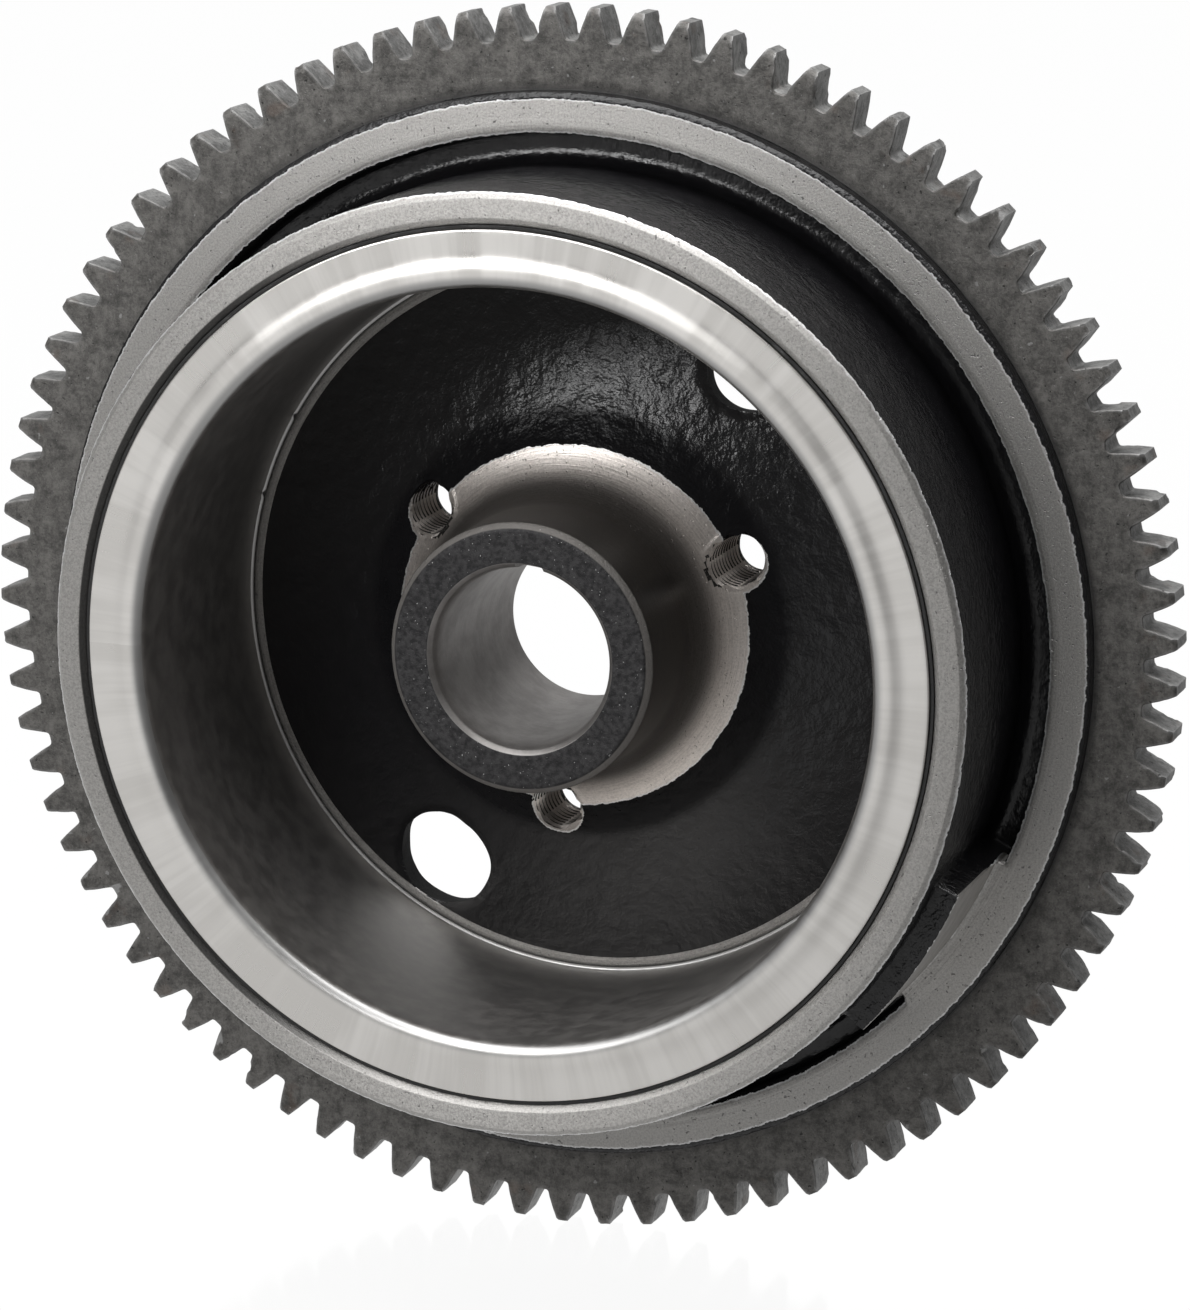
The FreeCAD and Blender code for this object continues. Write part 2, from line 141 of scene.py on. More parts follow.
def lattice_noise(points, size, seed):
    """Smooth noise between -1 and 1 whose bumps are about `size` across."""
    scaled = points / size + seed * 17.3
    cell = np.floor(scaled).astype(np.int64)
    part = scaled - cell
    part = part * part * (3 - 2 * part)
    total = np.zeros(len(points))
    for corner in itertools.product((0, 1), repeat=3):
        at = cell + np.array(corner)
        mixed = (at[:, 0] * 73856093) ^ (at[:, 1] * 19349663) ^ (at[:, 2] * 83492791) ^ (seed * 2654435761)
        mixed = ((mixed ^ (mixed >> 13)) * 1274126177) & 0x7FFFFFFF
        mixed = (mixed ^ (mixed >> 15)) & 0xFFFF
        weight = np.prod(np.where(np.array(corner) == 1, part, 1 - part), axis=1)
        total += (mixed / 32767.5 - 1) * weight
    return total


def spaced(start, end, step):
    """Evenly spaced points from start up to, but not including, end."""
    start, end = np.array(start, float), np.array(end, float)
    count = max(1, math.ceil(np.linalg.norm(end - start) / step))
    return [start + (end - start) * i / count for i in range(count)]


def curve(start, corner, end, shares):
    """Points at some shares of the way from start to end along a curve that leans towards the corner."""
    return [(1 - t) ** 2 * start + 2 * t * (1 - t) * corner + t * t * end for t in shares]


def rounded_corner(before, corner, after, size):
    """Four points that round a corner off."""
    to_before, to_after = before - corner, after - corner
    size = min(size, np.linalg.norm(to_before) * 0.45, np.linalg.norm(to_after) * 0.45)
    a = corner + to_before / np.linalg.norm(to_before) * size
    b = corner + to_after / np.linalg.norm(to_after) * size
    return curve(a, corner, b, np.linspace(0, 1, 4))


def outline(*corners, closed=False):
    """A fine outline from corners (radius, y, rounding, spacing of the points up to the next corner)."""
    places = [np.array(corner[:2], float) for corner in corners]
    turns = []
    for i, (_, _, size, _) in enumerate(corners):
        following = places[(i + 1) % len(corners)]
        if size:
            turns.append(rounded_corner(places[i - 1], places[i], following, size))
        else:
            turns.append([places[i]])
    points = []
    for i, turn in enumerate(turns):
        points += turn[:-1]
        if i == len(turns) - 1 and not closed:
            points.append(turn[-1])
        else:
            points += spaced(turn[-1], turns[(i + 1) % len(turns)][0], corners[i][3])
    return np.array(points)


def arc(start, end, radius, count):
    """`count` points inside an arc that bulges to the left of the way from start to end."""
    start, end = np.array(start, float), np.array(end, float)
    chord = end - start
    left = np.array([-chord[1], chord[0]]) / np.linalg.norm(chord)
    centre = (start + end) / 2 - left * math.sqrt(radius**2 - (np.linalg.norm(chord) / 2) ** 2)
    first = math.atan2(*(start - centre)[::-1])
    last = math.atan2(*(end - centre)[::-1])
    turn = (last - first + math.pi) % (2 * math.pi) - math.pi
    angles = first + turn * np.linspace(0, 1, count + 2)[1:-1]
    return centre + radius * np.stack([np.cos(angles), np.sin(angles)], axis=1)


def resample(points, count):
    """The same open line as `count` points, evenly spaced along it."""
    points = np.array(points, float)
    run = np.concatenate([[0], np.cumsum(np.linalg.norm(np.diff(points, axis=0), axis=1))])
    even = np.linspace(0, run[-1], count)
    return np.stack([np.interp(even, run, points[:, k]) for k in range(2)], axis=1)


def ring_points(radius, y, angle):
    return np.stack(np.broadcast_arrays(radius * np.cos(angle), y, radius * np.sin(angle)), axis=-1)


def grid_faces(rows, columns, close_rows=True):
    """Quads of a grid whose rows follow an outline and whose columns go all the way round."""
    r, c = np.meshgrid(np.arange(rows if close_rows else rows - 1), np.arange(columns), indexing="ij")
    r2, c2 = (r + 1) % rows, (c + 1) % columns
    quads = [r * columns + c, r * columns + c2, r2 * columns + c2, r2 * columns + c]
    return np.stack(quads, axis=-1).reshape(-1, 4)


def strip(a, b, closed=False):
    """Quads between two rows of point numbers."""
    count = len(a) if closed else len(a) - 1
    return [[a[i], a[(i + 1) % len(a)], b[(i + 1) % len(b)], b[i]] for i in range(count)]


def polar(points):
    """Radius, y and angle of points."""
    return np.hypot(points[:, 0], points[:, 2]), points[:, 1], np.arctan2(points[:, 2], points[:, 0])


def angle_apart(angle, middle):
    return np.abs((angle - middle + math.pi) % (2 * math.pi) - math.pi)


# ---- mesh objects


def outward(mesh):
    """Turns every face of a closed mesh outwards."""
    bm = bmesh.new()
    bm.from_mesh(mesh)
    bmesh.ops.recalc_face_normals(bm, faces=bm.faces)
    bm.to_mesh(mesh)
    bm.free()


def add_object(name, data):
    thing = bpy.data.objects.new(name, data)
    bpy.context.scene.collection.objects.link(thing)
    return thing


def make_mesh(name, points, faces):
    """A mesh object from points in mm, facing outwards."""
    mesh = bpy.data.meshes.new(name)
    mesh.from_pydata((np.asarray(points, float).reshape(-1, 3) * MM).tolist(), [], [list(f) for f in faces])
    outward(mesh)
    return add_object(name, mesh)


def lathe(name, section, columns):
    """A closed section of (radius, y) points turned about the spin axis."""
    angles = np.arange(columns) * 2 * math.pi / columns
    points = ring_points(section[:, :1], section[:, 1:], angles)
    return make_mesh(name, points, grid_faces(len(section), columns))


def smooth_all_but(piece, degrees):
    """Smooth shading, with edges sharper than the angle kept crisp."""
    bm = bmesh.new()
    bm.from_mesh(piece.data)
    for edge in bm.edges:
        edge.smooth = len(edge.link_faces) == 2 and edge.calc_face_angle(0) < math.radians(degrees)
    for face in bm.faces:
        face.smooth = True
    bm.to_mesh(piece.data)
    bm.free()


def read(collection, field, width):
    values = np.empty(len(collection) * width)
    collection.foreach_get(field, values)
    return values.reshape(-1, width)


def vertices(piece):
    return read(piece.data.vertices, "co", 3) / MM


def move_vertices(piece, points):
    piece.data.vertices.foreach_set("co", (points * MM).ravel())
    piece.data.update()


def store(piece, name, values):
    """A number at every vertex, which the material reads by its name."""
    attribute = piece.data.attributes.new(name, "FLOAT", "POINT")
    attribute.data.foreach_set("value", np.asarray(values, np.float32))


def face_places(piece):
    """Middle and normal of every face, the middles in mm."""
    return read(piece.data.polygons, "center", 3) / MM, read(piece.data.polygons, "normal", 3)


def finish_piece(piece, node, materials, zones=None, sharp=30):
    """Materials, shading and the CAD node it stands for. zones says which material each face has."""
    for material in materials:
        piece.data.materials.append(material)
    smooth_all_but(piece, sharp)
    if zones is not None:
        piece.data.polygons.foreach_set("material_index", zones.astype(np.int32))
    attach(piece, BODY)
    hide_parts(node)


# ---- casting: shape

COLUMNS = 640
WEB_STEP, TURNED_STEP, BACK_STEP, HIDDEN_STEP = 0.5, 1.6, 1.1, 8.0
WALL_ROWS, THREAD_SEGMENTS, VENT_SEGMENTS = 88, 60, 96
BEYOND, MOUTH_FLARE = 2, 0.3  # how far cutters reach past the part; widening of a tapped hole's mouth


def cup_to_rim(*way):
    """From the cup's outer chamfer by way of some points to the rim's face."""
    start, end = (CUP_RADIUS, CUP_FACE + CUP_CHAMFER), (RIM_INNER + RIM_STEP, RIM_FACE)
    return resample([start, *way, end], WALL_ROWS)


def wall_and_channel():
    """Down the cup's wall and through the channel."""
    foot = (CUP_RADIUS, CHANNEL_FLOOR - CHANNEL_FILLET)
    floor = (CUP_RADIUS + CHANNEL_FILLET, CHANNEL_FLOOR)
    return cup_to_rim(
        foot,
        *arc(foot, floor, CHANNEL_FILLET, 6),
        floor,
        (RIM_INNER - RIM_CORNER, CHANNEL_FLOOR),
        (RIM_INNER, CHANNEL_FLOOR - RIM_CORNER),
        (RIM_INNER, RIM_FACE + 0.5),
        (RIM_INNER + 0.25, RIM_FACE + 0.2),
    )


def wall_and_lug():
    """Down the cup's wall and over the trigger lug, which fills the channel."""
    return cup_to_rim(
        (CUP_RADIUS, LUG_FACE - 1.0),
        (CUP_RADIUS + 0.3, LUG_FACE - 0.35),
        (CUP_RADIUS + 1.0, LUG_FACE),
        (LUG_RADIUS - 0.15, LUG_FACE),
        (LUG_RADIUS, LUG_FACE + 0.15),
        (LUG_RADIUS, RIM_FACE - 0.3),
        (LUG_RADIUS + 0.35, RIM_FACE - 0.05),
    )


def front_section():
    """From the bore's mouth over the hub and the web to the cup's face."""
    hub = outline(
        (TAPER_LARGE, HUB_FACE + MOUTH_DEPTH, 0, 0.5),
        (TAPER_LARGE + 0.3, HUB_FACE + 0.75, 0.2, 0.4),
        (MOUTH_RADIUS, HUB_FACE, 0.15, 0.8),
        (HUB_RADIUS - HUB_CHAMFER, HUB_FACE, 0.25, 0.5),
        (HUB_RADIUS, HUB_FACE + HUB_CHAMFER, 0.25, TURNED_STEP),
        (HUB_RADIUS, SWEEP_START, 0, 1),
    )
    sweep = arc((HUB_RADIUS, SWEEP_START), (SWEEP_EDGE, SWEEP_END), SWEEP_RADIUS, 22)
    web = [(radius, web_front(radius)) for radius in np.arange(SWEEP_EDGE, FLOOR_STEP - 0.5, WEB_STEP)]
    cup = outline(
        (FLOOR_STEP - 0.2, DISH_Y, 0, 0.5),
        (FLOOR_STEP + CUP_FLOOR - DISH_Y, CUP_FLOOR, 0, 4),
        (CUP_BORE, CUP_FLOOR, 0, HIDDEN_STEP),
        (CUP_BORE, CUP_FACE + CUP_BORE_CHAMFER, 0.12, 0.4),
        (CUP_BORE + CUP_BORE_CHAMFER, CUP_FACE, 0.12, 0.7),
        (CUP_RADIUS - CUP_CHAMFER, CUP_FACE, 0.12, 0.3),
        (CUP_RADIUS, CUP_FACE + CUP_CHAMFER, 0, 1),
    )
    return np.vstack([hub, sweep, web, cup[:-1]])


def rear_section():
    """From the rim's face round the gear seat and the back to the bore's small end."""
    return outline(
        (RIM_INNER + RIM_STEP, RIM_FACE, 0, 0.9),
        (SEAT_RADIUS - RIM_CHAMFER, RIM_FACE, 0.15, 0.3),
        (SEAT_RADIUS, RIM_FACE + RIM_CHAMFER, 0.15, 1.2),
        (SEAT_RADIUS, GEAR_BACK, 0, 2),
        (SHOULDER_RADIUS, GEAR_BACK, 0.25, TURNED_STEP),
        (SHOULDER_RADIUS, REAR_FACE - REAR_CHAMFER, 0.25, 0.6),
        (SHOULDER_RADIUS - REAR_CHAMFER, REAR_FACE, 0.25, TURNED_STEP),
        (REAR_INNER, REAR_FACE, 0.9, 0.8),
        (DISH_OUTER, web_front(DISH_OUTER) + WEB_THICKNESS, 0.9, BACK_STEP),
        (BOSS_FOOT, web_front(BOSS_FOOT) + WEB_THICKNESS, 2.0, 0.9),
        (BOSS_RADIUS, BOSS_BACK, 0.6, TURNED_STEP),
        (RECESS_RADIUS + NUT_EDGE, BOSS_BACK, 0.12, 0.4),
        (RECESS_RADIUS, BOSS_BACK - NUT_EDGE, 0.12, TURNED_STEP),
        (RECESS_RADIUS, NUT_FACE, 0.5, TURNED_STEP),
        (TAPER_SMALL + NUT_EDGE, NUT_FACE, 0.12, 0.4),
        (TAPER_SMALL, NUT_FACE - NUT_EDGE, 0.12, 2),
        (TAPER_LARGE, HUB_FACE + MOUTH_DEPTH, 0, 1),
    )[1:-1]


def casting_columns():
    """Angles of the mesh's columns, closer together at the two ends of the trigger lug."""
    even = np.arange(COLUMNS) * 2 * math.pi / COLUMNS
    ends = [LUG_MIDDLE - LUG_SPAN / 2, LUG_MIDDLE + LUG_SPAN / 2]
    fine = np.concatenate([end + np.radians(np.linspace(-1.0, 1.0, 18)) for end in ends])
    return np.unique(np.round(np.concatenate([even, fine % (2 * math.pi)]), 5))


def turned_casting():
    """The casting before it is roughened and drilled."""
    front, rear = front_section(), rear_section()
    plain = np.vstack([front, wall_and_channel(), rear])
    lugged = np.vstack([front, wall_and_lug(), rear])
    columns = casting_columns()
    low, high = LUG_SPAN / 2 - LUG_FADE, LUG_SPAN / 2 + LUG_FADE
    share = 1 - smooth_step(angle_apart(columns, LUG_MIDDLE), low, high)[None, :, None]
    section = plain[:, None, :] * (1 - share) + lugged[:, None, :] * share
    points = ring_points(section[..., 0], section[..., 1], columns)
    return make_mesh("casting", points, grid_faces(len(plain), len(columns)))


def on_lug(points):
    """How far inside the trigger lug's span each point is, in mm along the turn."""
    radius, _, angle = polar(points)
    return (LUG_SPAN / 2 - angle_apart(angle, LUG_MIDDLE)) * radius


def axis_distance(points, circle, angle, drop=0.0):
    """Distance to the axis of a hole on a circle, taken `drop` below it."""
    x, z = circle * math.cos(angle), circle * math.sin(angle) - drop
    return np.hypot(points[:, 0] - x, points[:, 2] - z)


def hole_distance(points, drop=0.0):
    """Distance to the nearest puller hole's axis, taken `drop` below it."""
    gaps = [axis_distance(points, PULLER_CIRCLE, angle, drop) for angle in PULLER_ANGLES]
    return np.min(gaps, axis=0)


BARE, PAINT_EDGE = -9.0, 0.3  # well clear of paint; the bare strip that turning leaves beside it
SEAT_PAINT, TOP_LAP = 0.35, 0.5  # paint on the rim's outer edge, and more of it above and below
BARE_DROP, BARE_EDGE = 0.7, 0.1  # the tap's chips have bared the lower side of each puller hole


def outer_paint(points):
    """Paint depth on the cup's outer wall, in the channel, on the lug and at the rim's outer edge."""
    radius, y, angle = polar(points)
    below_chamfer = y - (CUP_FACE + CUP_CHAMFER)
    channel = np.minimum(below_chamfer, RIM_INNER + 0.2 - radius)
    lug_front = np.minimum(channel, LUG_RADIUS - 0.1 - radius)
    channel = np.where(on_lug(points) > -0.2, lug_front, channel)
    rim = radius - SEAT_RADIUS + SEAT_PAINT + TOP_LAP * np.sin(angle) ** 2
    return np.where(radius > SEAT_RADIUS - 2, rim, channel)


def paint_depth(points, normals):
    """How far each point of the casting is inside the black paint, in mm; below 0 it is bare iron."""
    radius, y, _ = polar(points)
    facing_back = normals[:, 1] > 0.2
    dish = np.minimum(radius - BOSS_RADIUS, REAR_INNER - radius) - PAINT_EDGE
    depth = np.where(facing_back & (radius < FLOOR_STEP + 1), dish, radius - SWEEP_EDGE)
    in_cup = (radius > FLOOR_STEP + 1) & (radius < CUP_RADIUS - CUP_CHAMFER / 2)
    outside = (radius >= CUP_RADIUS - CUP_CHAMFER / 2) & (y < GEAR_BACK)
    depth = np.where(in_cup, BARE, np.where(outside, outer_paint(points), depth))
    depth = np.where((radius > DISH_OUTER) & (y > GEAR_BACK), BARE, depth)
    bare_mouth = hole_distance(points, BARE_DROP) - PULLER_MAJOR + BARE_EDGE
    return np.where(facing_back, depth, np.minimum(depth, bare_mouth))


def bell(x, middle, width):
    """1 at the middle, falling off smoothly on both sides within about the width."""
    return np.exp(-(((x - middle) / width) ** 2))


SKIN_BUMPS = ((0.07, 1.4, 3), (0.03, 0.8, 5), (0.08, 5.0, 7))  # height, size and seed
FRAY_HEIGHT, FRAY_SIZE = 0.05, 0.6  # unevenness of the turned edges
BURR_HEIGHT, BURR_WIDTH, VENT_SINK = 0.13, 0.3, 0.45


def cast_skin(points):
    """Bumps of the cast skin, in mm. They are lower in the channel's foot, where the paint has run."""
    radius, y, _ = polar(points)
    skin = sum(height * lattice_noise(points, size, seed) for height, size, seed in SKIN_BUMPS)
    in_foot = (radius > CUP_RADIUS - 1) & (y > 0) & (y < GEAR_BACK)
    return skin * np.where(in_foot, 0.5, 1.0)


def ragged_edges(points):
    """Unevenness of the two edges where turning meets the cast skin, in mm."""
    radius, y, _ = polar(points)
    cup_edge = bell(y, CUP_FACE + CUP_CHAMFER, 0.4) * (np.abs(radius - CUP_RADIUS) < 0.3)
    rim_edge = bell(radius, RIM_INNER + 0.1, 0.35) * (np.abs(y - RIM_FACE) < 1)
    return (cup_edge + 2 * rim_edge) * FRAY_HEIGHT * lattice_noise(points, FRAY_SIZE, 9)


def roughen_casting(piece):
    """As-cast skin under the paint, sunk round the vents, and a burr round each tapped hole."""
    points, normals = vertices(piece), read(piece.data.vertex_normals, "vector", 3)
    cast = smooth_step(paint_depth(points, normals), 0.0, 0.7)
    lift = cast * cast_skin(points) + ragged_edges(points)
    for circle, angle, size in VENTS:
        gap = axis_distance(points, circle, angle) - size
        lift -= VENT_SINK * bell(gap, 0.5, 0.8) * (normals[:, 1] < -0.5) * cast
    burr = bell(hole_distance(points), PULLER_MAJOR + BURR_WIDTH / 2, BURR_WIDTH)
    burr *= (normals[:, 1] < -0.2) * BURR_HEIGHT * (0.6 + 0.6 * lattice_noise(points, 1.0, 11))
    move_vertices(piece, points + normals * (lift + burr)[:, None])


def tube_cutter(name, circle, angle, rows, segments, radius_at):
    """A closed cutter along y, with its radius given by radius_at(turn angles, y)."""
    turn = np.arange(segments) * 2 * math.pi / segments
    size = np.array([radius_at(turn, y) for y in rows])
    x = circle * math.cos(angle) + size * np.cos(turn)
    z = circle * math.sin(angle) + size * np.sin(turn)
    points = np.stack([x, np.broadcast_to(np.array(rows)[:, None], size.shape), z], axis=-1)
    last = (len(rows) - 1) * segments
    faces = grid_faces(len(rows), segments, close_rows=False).tolist()
    faces += [range(segments), range(last + segments - 1, last - 1, -1)]
    return make_mesh(name, points, faces)


def thread_cutter(angle):
    """A tapped hole: its radius follows a helix and opens a little at the nut side."""

    def radius_at(turn, y):
        phase = (y / PULLER_PITCH - turn / (2 * math.pi)) % 1
        groove = np.clip(1.25 * (1 - np.abs(phase * 2 - 1)) - 0.12, 0, 1)  # flats at crest and root
        mouth = MOUTH_FLARE * smooth_step(y, BOSS_BACK - 0.7, BOSS_BACK)
        return PULLER_MINOR + (PULLER_MAJOR - PULLER_MINOR) * groove + mouth

    rows = np.arange(HUB_FACE / 2, BOSS_BACK + BEYOND, PULLER_PITCH / 8)
    return tube_cutter("thread", PULLER_CIRCLE, angle, rows, THREAD_SEGMENTS, radius_at)


def vent_cutter(circle, angle, size):
    """A cast hole with draft, a little out of round."""

    def radius_at(turn, y):
        drafted = size + VENT_DRAFT * (y - SWEEP_END) / (REAR_FACE - SWEEP_END)
        waves = 0.12 * np.sin(3 * turn + 2 * angle) + 0.07 * np.sin(5 * turn + 1)
        return drafted + waves + 0.04 * np.sin(9 * turn + y)

    rows = np.arange(SWEEP_END - 1, REAR_FACE + BEYOND, 0.5)
    return tube_cutter("vent", circle, angle, rows, VENT_SEGMENTS, radius_at)


def key_cutter():
    """The slot for the crank's key."""
    inner, half = TAPER_SMALL - 3, KEY_WIDTH / 2
    bottom = (KEY_RADIUS, -half, 0.3, 2), (KEY_RADIUS, half, 0.3, 2)
    shape = outline((inner, -half, 0, 2), *bottom, (inner, half, 0, 2), closed=True)
    along = np.array([math.cos(KEY_ANGLE), 0, math.sin(KEY_ANGLE)])
    across = np.array([-math.sin(KEY_ANGLE), 0, math.cos(KEY_ANGLE)])
    ends = [np.array([0, y, 0]) for y in (HUB_FACE - BEYOND, NUT_FACE + BEYOND)]
    points = [along * u + across * v + end for end in ends for u, v in shape]
    count = len(shape)
    faces = strip(range(count), range(count, 2 * count), closed=True)
    faces += [range(count), range(2 * count - 1, count - 1, -1)]
    return make_mesh("key", points, faces)


def cut(piece, cutters):
    """Takes the cutters away from the piece."""
    for cutter in cutters:
        step = piece.modifiers.new("cut", "BOOLEAN")
        step.operation = "DIFFERENCE"
        step.solver = "EXACT"
        step.object = cutter
    evaluated = piece.evaluated_get(bpy.context.evaluated_depsgraph_get())
    piece.data = bpy.data.meshes.new_from_object(evaluated)
    piece.data.validate()
    piece.modifiers.clear()
    for cutter in cutters:
        bpy.data.objects.remove(cutter)


IRON, HUB_END, BORE, THREAD, LUG_SIDE, VENT = range(6)  # the casting's materials, in slot order


def casting_zones(piece):
    """Material of each face of the casting."""
    points, normals = face_places(piece)
    radius, y, _ = polar(points)
    flat = np.abs(normals[:, 1])  # 0 on a wall along the axis, 1 on a face square to it
    zones = np.full(len(points), IRON)
    hub_end = (radius < HUB_RADIUS - 0.1) & (normals[:, 1] < -0.4)
    zones[hub_end & (y < HUB_FACE + HUB_CHAMFER)] = HUB_END
    zones[(radius < MOUTH_RADIUS - 0.05) & (y < NUT_FACE + 0.2) & (flat < 0.8)] = BORE
    in_hole = (hole_distance(points) < PULLER_MAJOR + 0.05) & (flat < 0.75)
    zones[in_hole & (y > SWEEP_START) & (radius > RECESS_RADIUS + NUT_EDGE)] = THREAD
    for circle, angle, size in VENTS:
        in_vent = axis_distance(points, circle, angle) < size + VENT_DRAFT + 0.3
        zones[in_vent & (y > SWEEP_END) & (flat < 0.6)] = VENT
    on_side = (np.abs(radius - LUG_RADIUS) < 0.2) & (flat < 0.5) & (on_lug(points) > 0.3)
    zones[on_side & (y < RIM_FACE)] = LUG_SIDE
    return zones


def build_casting():
    piece = turned_casting()
    roughen_casting(piece)
    threads = [thread_cutter(angle) for angle in PULLER_ANGLES]
    cut(piece, threads + [vent_cutter(*vent) for vent in VENTS] + [key_cutter()])
    normals = read(piece.data.vertex_normals, "vector", 3)
    store(piece, "paint", paint_depth(vertices(piece), normals))
    looks = [cast_iron(), hub_end_face(), bore_steel(), thread_steel(), turned_lug()]
    looks.append(grained("vent_paint", Specular_IOR_Level=0.15))
    finish_piece(piece, "flywheel_casting", looks, casting_zones(piece))


# ---- ring gear

FLANK_POINTS, LAND_POINTS, ROOT_POINTS, ROUND_POINTS = 7, 4, 3, 2
TOOTH_ANGLE = 2 * math.pi / TEETH
PRESSURE_ANGLE = math.radians(20)
ROOT_ROUND, WORN_EDGE, BACKLASH, TOOTH_WEAR = 0.45, 0.16, 0.12, 0.4
GEAR_RINGS = [77.0, 79.0, 80.3, ROOT_RADIUS - 1.4]  # radii of the points on the flat faces
FROM_FACE = [0, WORN_EDGE, 0.38, TIP_CHAMFER, 1.3, 2.2]  # rows of the toothed side, from either face
DENT_DEPTH, DENT_SIZE, DENT_FADE = 0.35, 1.7, 0.8


def involute(angle):
    return math.tan(angle) - angle


def half_tooth(radius):
    """Half a tooth's angle at a radius, with involute flanks."""
    pressure = math.acos(PITCH_RADIUS * math.cos(PRESSURE_ANGLE) / radius)
    return TOOTH_ANGLE / 4 + involute(PRESSURE_ANGLE) - involute(pressure) - BACKLASH / radius


def root_corner():
    """(radius, angle) of the points that round a root's corner, from the root up."""
    flank = np.array([ROOT_RADIUS + ROOT_ROUND, half_tooth(ROOT_RADIUS + ROOT_ROUND)])
    corner = np.array([ROOT_RADIUS, half_tooth(ROOT_RADIUS)])
    floor = corner + np.array([0, ROOT_ROUND / ROOT_RADIUS])
    return curve(floor, corner, flank, np.linspace(0, 1, ROUND_POINTS + 2)[1:-1])


def tooth_outline(tip):
    """(radius, angle) of the root before a tooth and of the tooth, up to its far foot."""
    floor_end = half_tooth(ROOT_RADIUS) + ROOT_ROUND / ROOT_RADIUS
    floor = [(ROOT_RADIUS, a) for a in np.linspace(floor_end - TOOTH_ANGLE, -floor_end, ROOT_POINTS)]
    flank = [(r, half_tooth(r)) for r in np.linspace(ROOT_RADIUS + ROOT_ROUND, tip, FLANK_POINTS)]
    land = [(tip, a) for a in np.linspace(-half_tooth(tip), half_tooth(tip), LAND_POINTS + 2)[1:-1]]
    up = root_corner() + flank
    return floor + [(r, -a) for r, a in up] + land + [(r, a) for r, a in reversed(up)]


def gear_row(y):
    """The gear's whole outline at one height, with the tips chamfered towards both faces."""
    cut_back = max(0.0, TIP_CHAMFER - (y - GEAR_FRONT), TIP_CHAMFER / 2 - (GEAR_BACK - y))
    shape = np.array(tooth_outline(TIP_RADIUS - cut_back))
    middles = FIRST_TOOTH + TOOTH_ANGLE * np.arange(TEETH)
    angle = (middles[:, None] + shape[None, :, 1]).ravel()
    return ring_points(np.tile(shape[:, 0] - TOOTH_WEAR, TEETH), np.full(len(angle), y), angle)


def pull_in(row, amount):
    """The same closed row moved inwards by an amount, square to its outline."""
    flat = row[:, [0, 2]]
    along = np.roll(flat, -1, axis=0) - np.roll(flat, 1, axis=0)
    along /= np.linalg.norm(along, axis=1)[:, None]
    moved = row.copy()
    moved[:, 0] -= along[:, 1] * amount
    moved[:, 2] += along[:, 0] * amount
    return moved


def gear_side_rows():
    """Rows of the toothed side, worn round at both faces and dented here and there."""
    heights = [GEAR_FRONT + d for d in FROM_FACE] + [GEAR_BACK - d for d in reversed(FROM_FACE)]
    rows = []
    for y in heights:
        row = gear_row(y)
        to_face = min(y - GEAR_FRONT, GEAR_BACK - y)
        dents = DENT_DEPTH * smooth_step(lattice_noise(row, DENT_SIZE, 21), 0.42, 0.8)
        amount = 0.04 * lattice_noise(row, 0.8, 23) + dents * (0.2 + math.exp(-to_face / DENT_FADE))
        rows.append(pull_in(row, amount + (WORN_EDGE if to_face == 0 else 0)))
    return rows


def between(points, a, b, count, y):
    """Adds `count` points on the line between two points and gives their numbers."""
    first = len(points)
    for share in np.linspace(0, 1, count + 2)[1:-1]:
        spot = points[a] * (1 - share) + points[b] * share
        spot[1] = y
        points.append(spot)
    return list(range(first, len(points)))


def tooth_face(points, faces, left, right, y):
    """One tooth's flat face: strips from flank to flank, from the foot up to the land."""
    below = [left] + between(points, left, right, LAND_POINTS, y) + [right]
    foot = below
    for level in range(1, FLANK_POINTS):
        left, right = left + 1, right - 1
        if level == FLANK_POINTS - 1:
            above = list(range(left, right + 1))
        else:
            above = [left] + between(points, left, right, LAND_POINTS, y) + [right]
        faces += strip(below, above)
        below = above
    return foot


def gear_face(points, faces, first, per_tooth, y):
    """One flat face of the gear, from its outline to the bore. Gives the bore edge's point numbers."""
    rise, fall = ROOT_POINTS + ROUND_POINTS, per_tooth - 1 - ROUND_POINTS
    outer = []
    for tooth in range(TEETH):
        start = first + tooth * per_tooth
        outer += range(start, start + rise)
        outer += tooth_face(points, faces, start + rise, start + fall, y)
        outer += range(start + fall + 1, start + per_tooth)
    angles = [math.atan2(points[c][2], points[c][0]) for c in outer]
    inward = WORN_EDGE if y < GEAR_BACK / 2 else -WORN_EDGE
    rings = [(r, y) for r in reversed(GEAR_RINGS)]
    rings += [(SEAT_RADIUS + 2 * WORN_EDGE, y), (SEAT_RADIUS + 0.02, y + inward)]
    for radius, height in rings:
        inner = range(len(points), len(points) + len(outer))
        points += [np.array([radius * math.cos(a), height, radius * math.sin(a)]) for a in angles]
        faces += strip(outer, inner, closed=True)
        outer = inner
    return outer


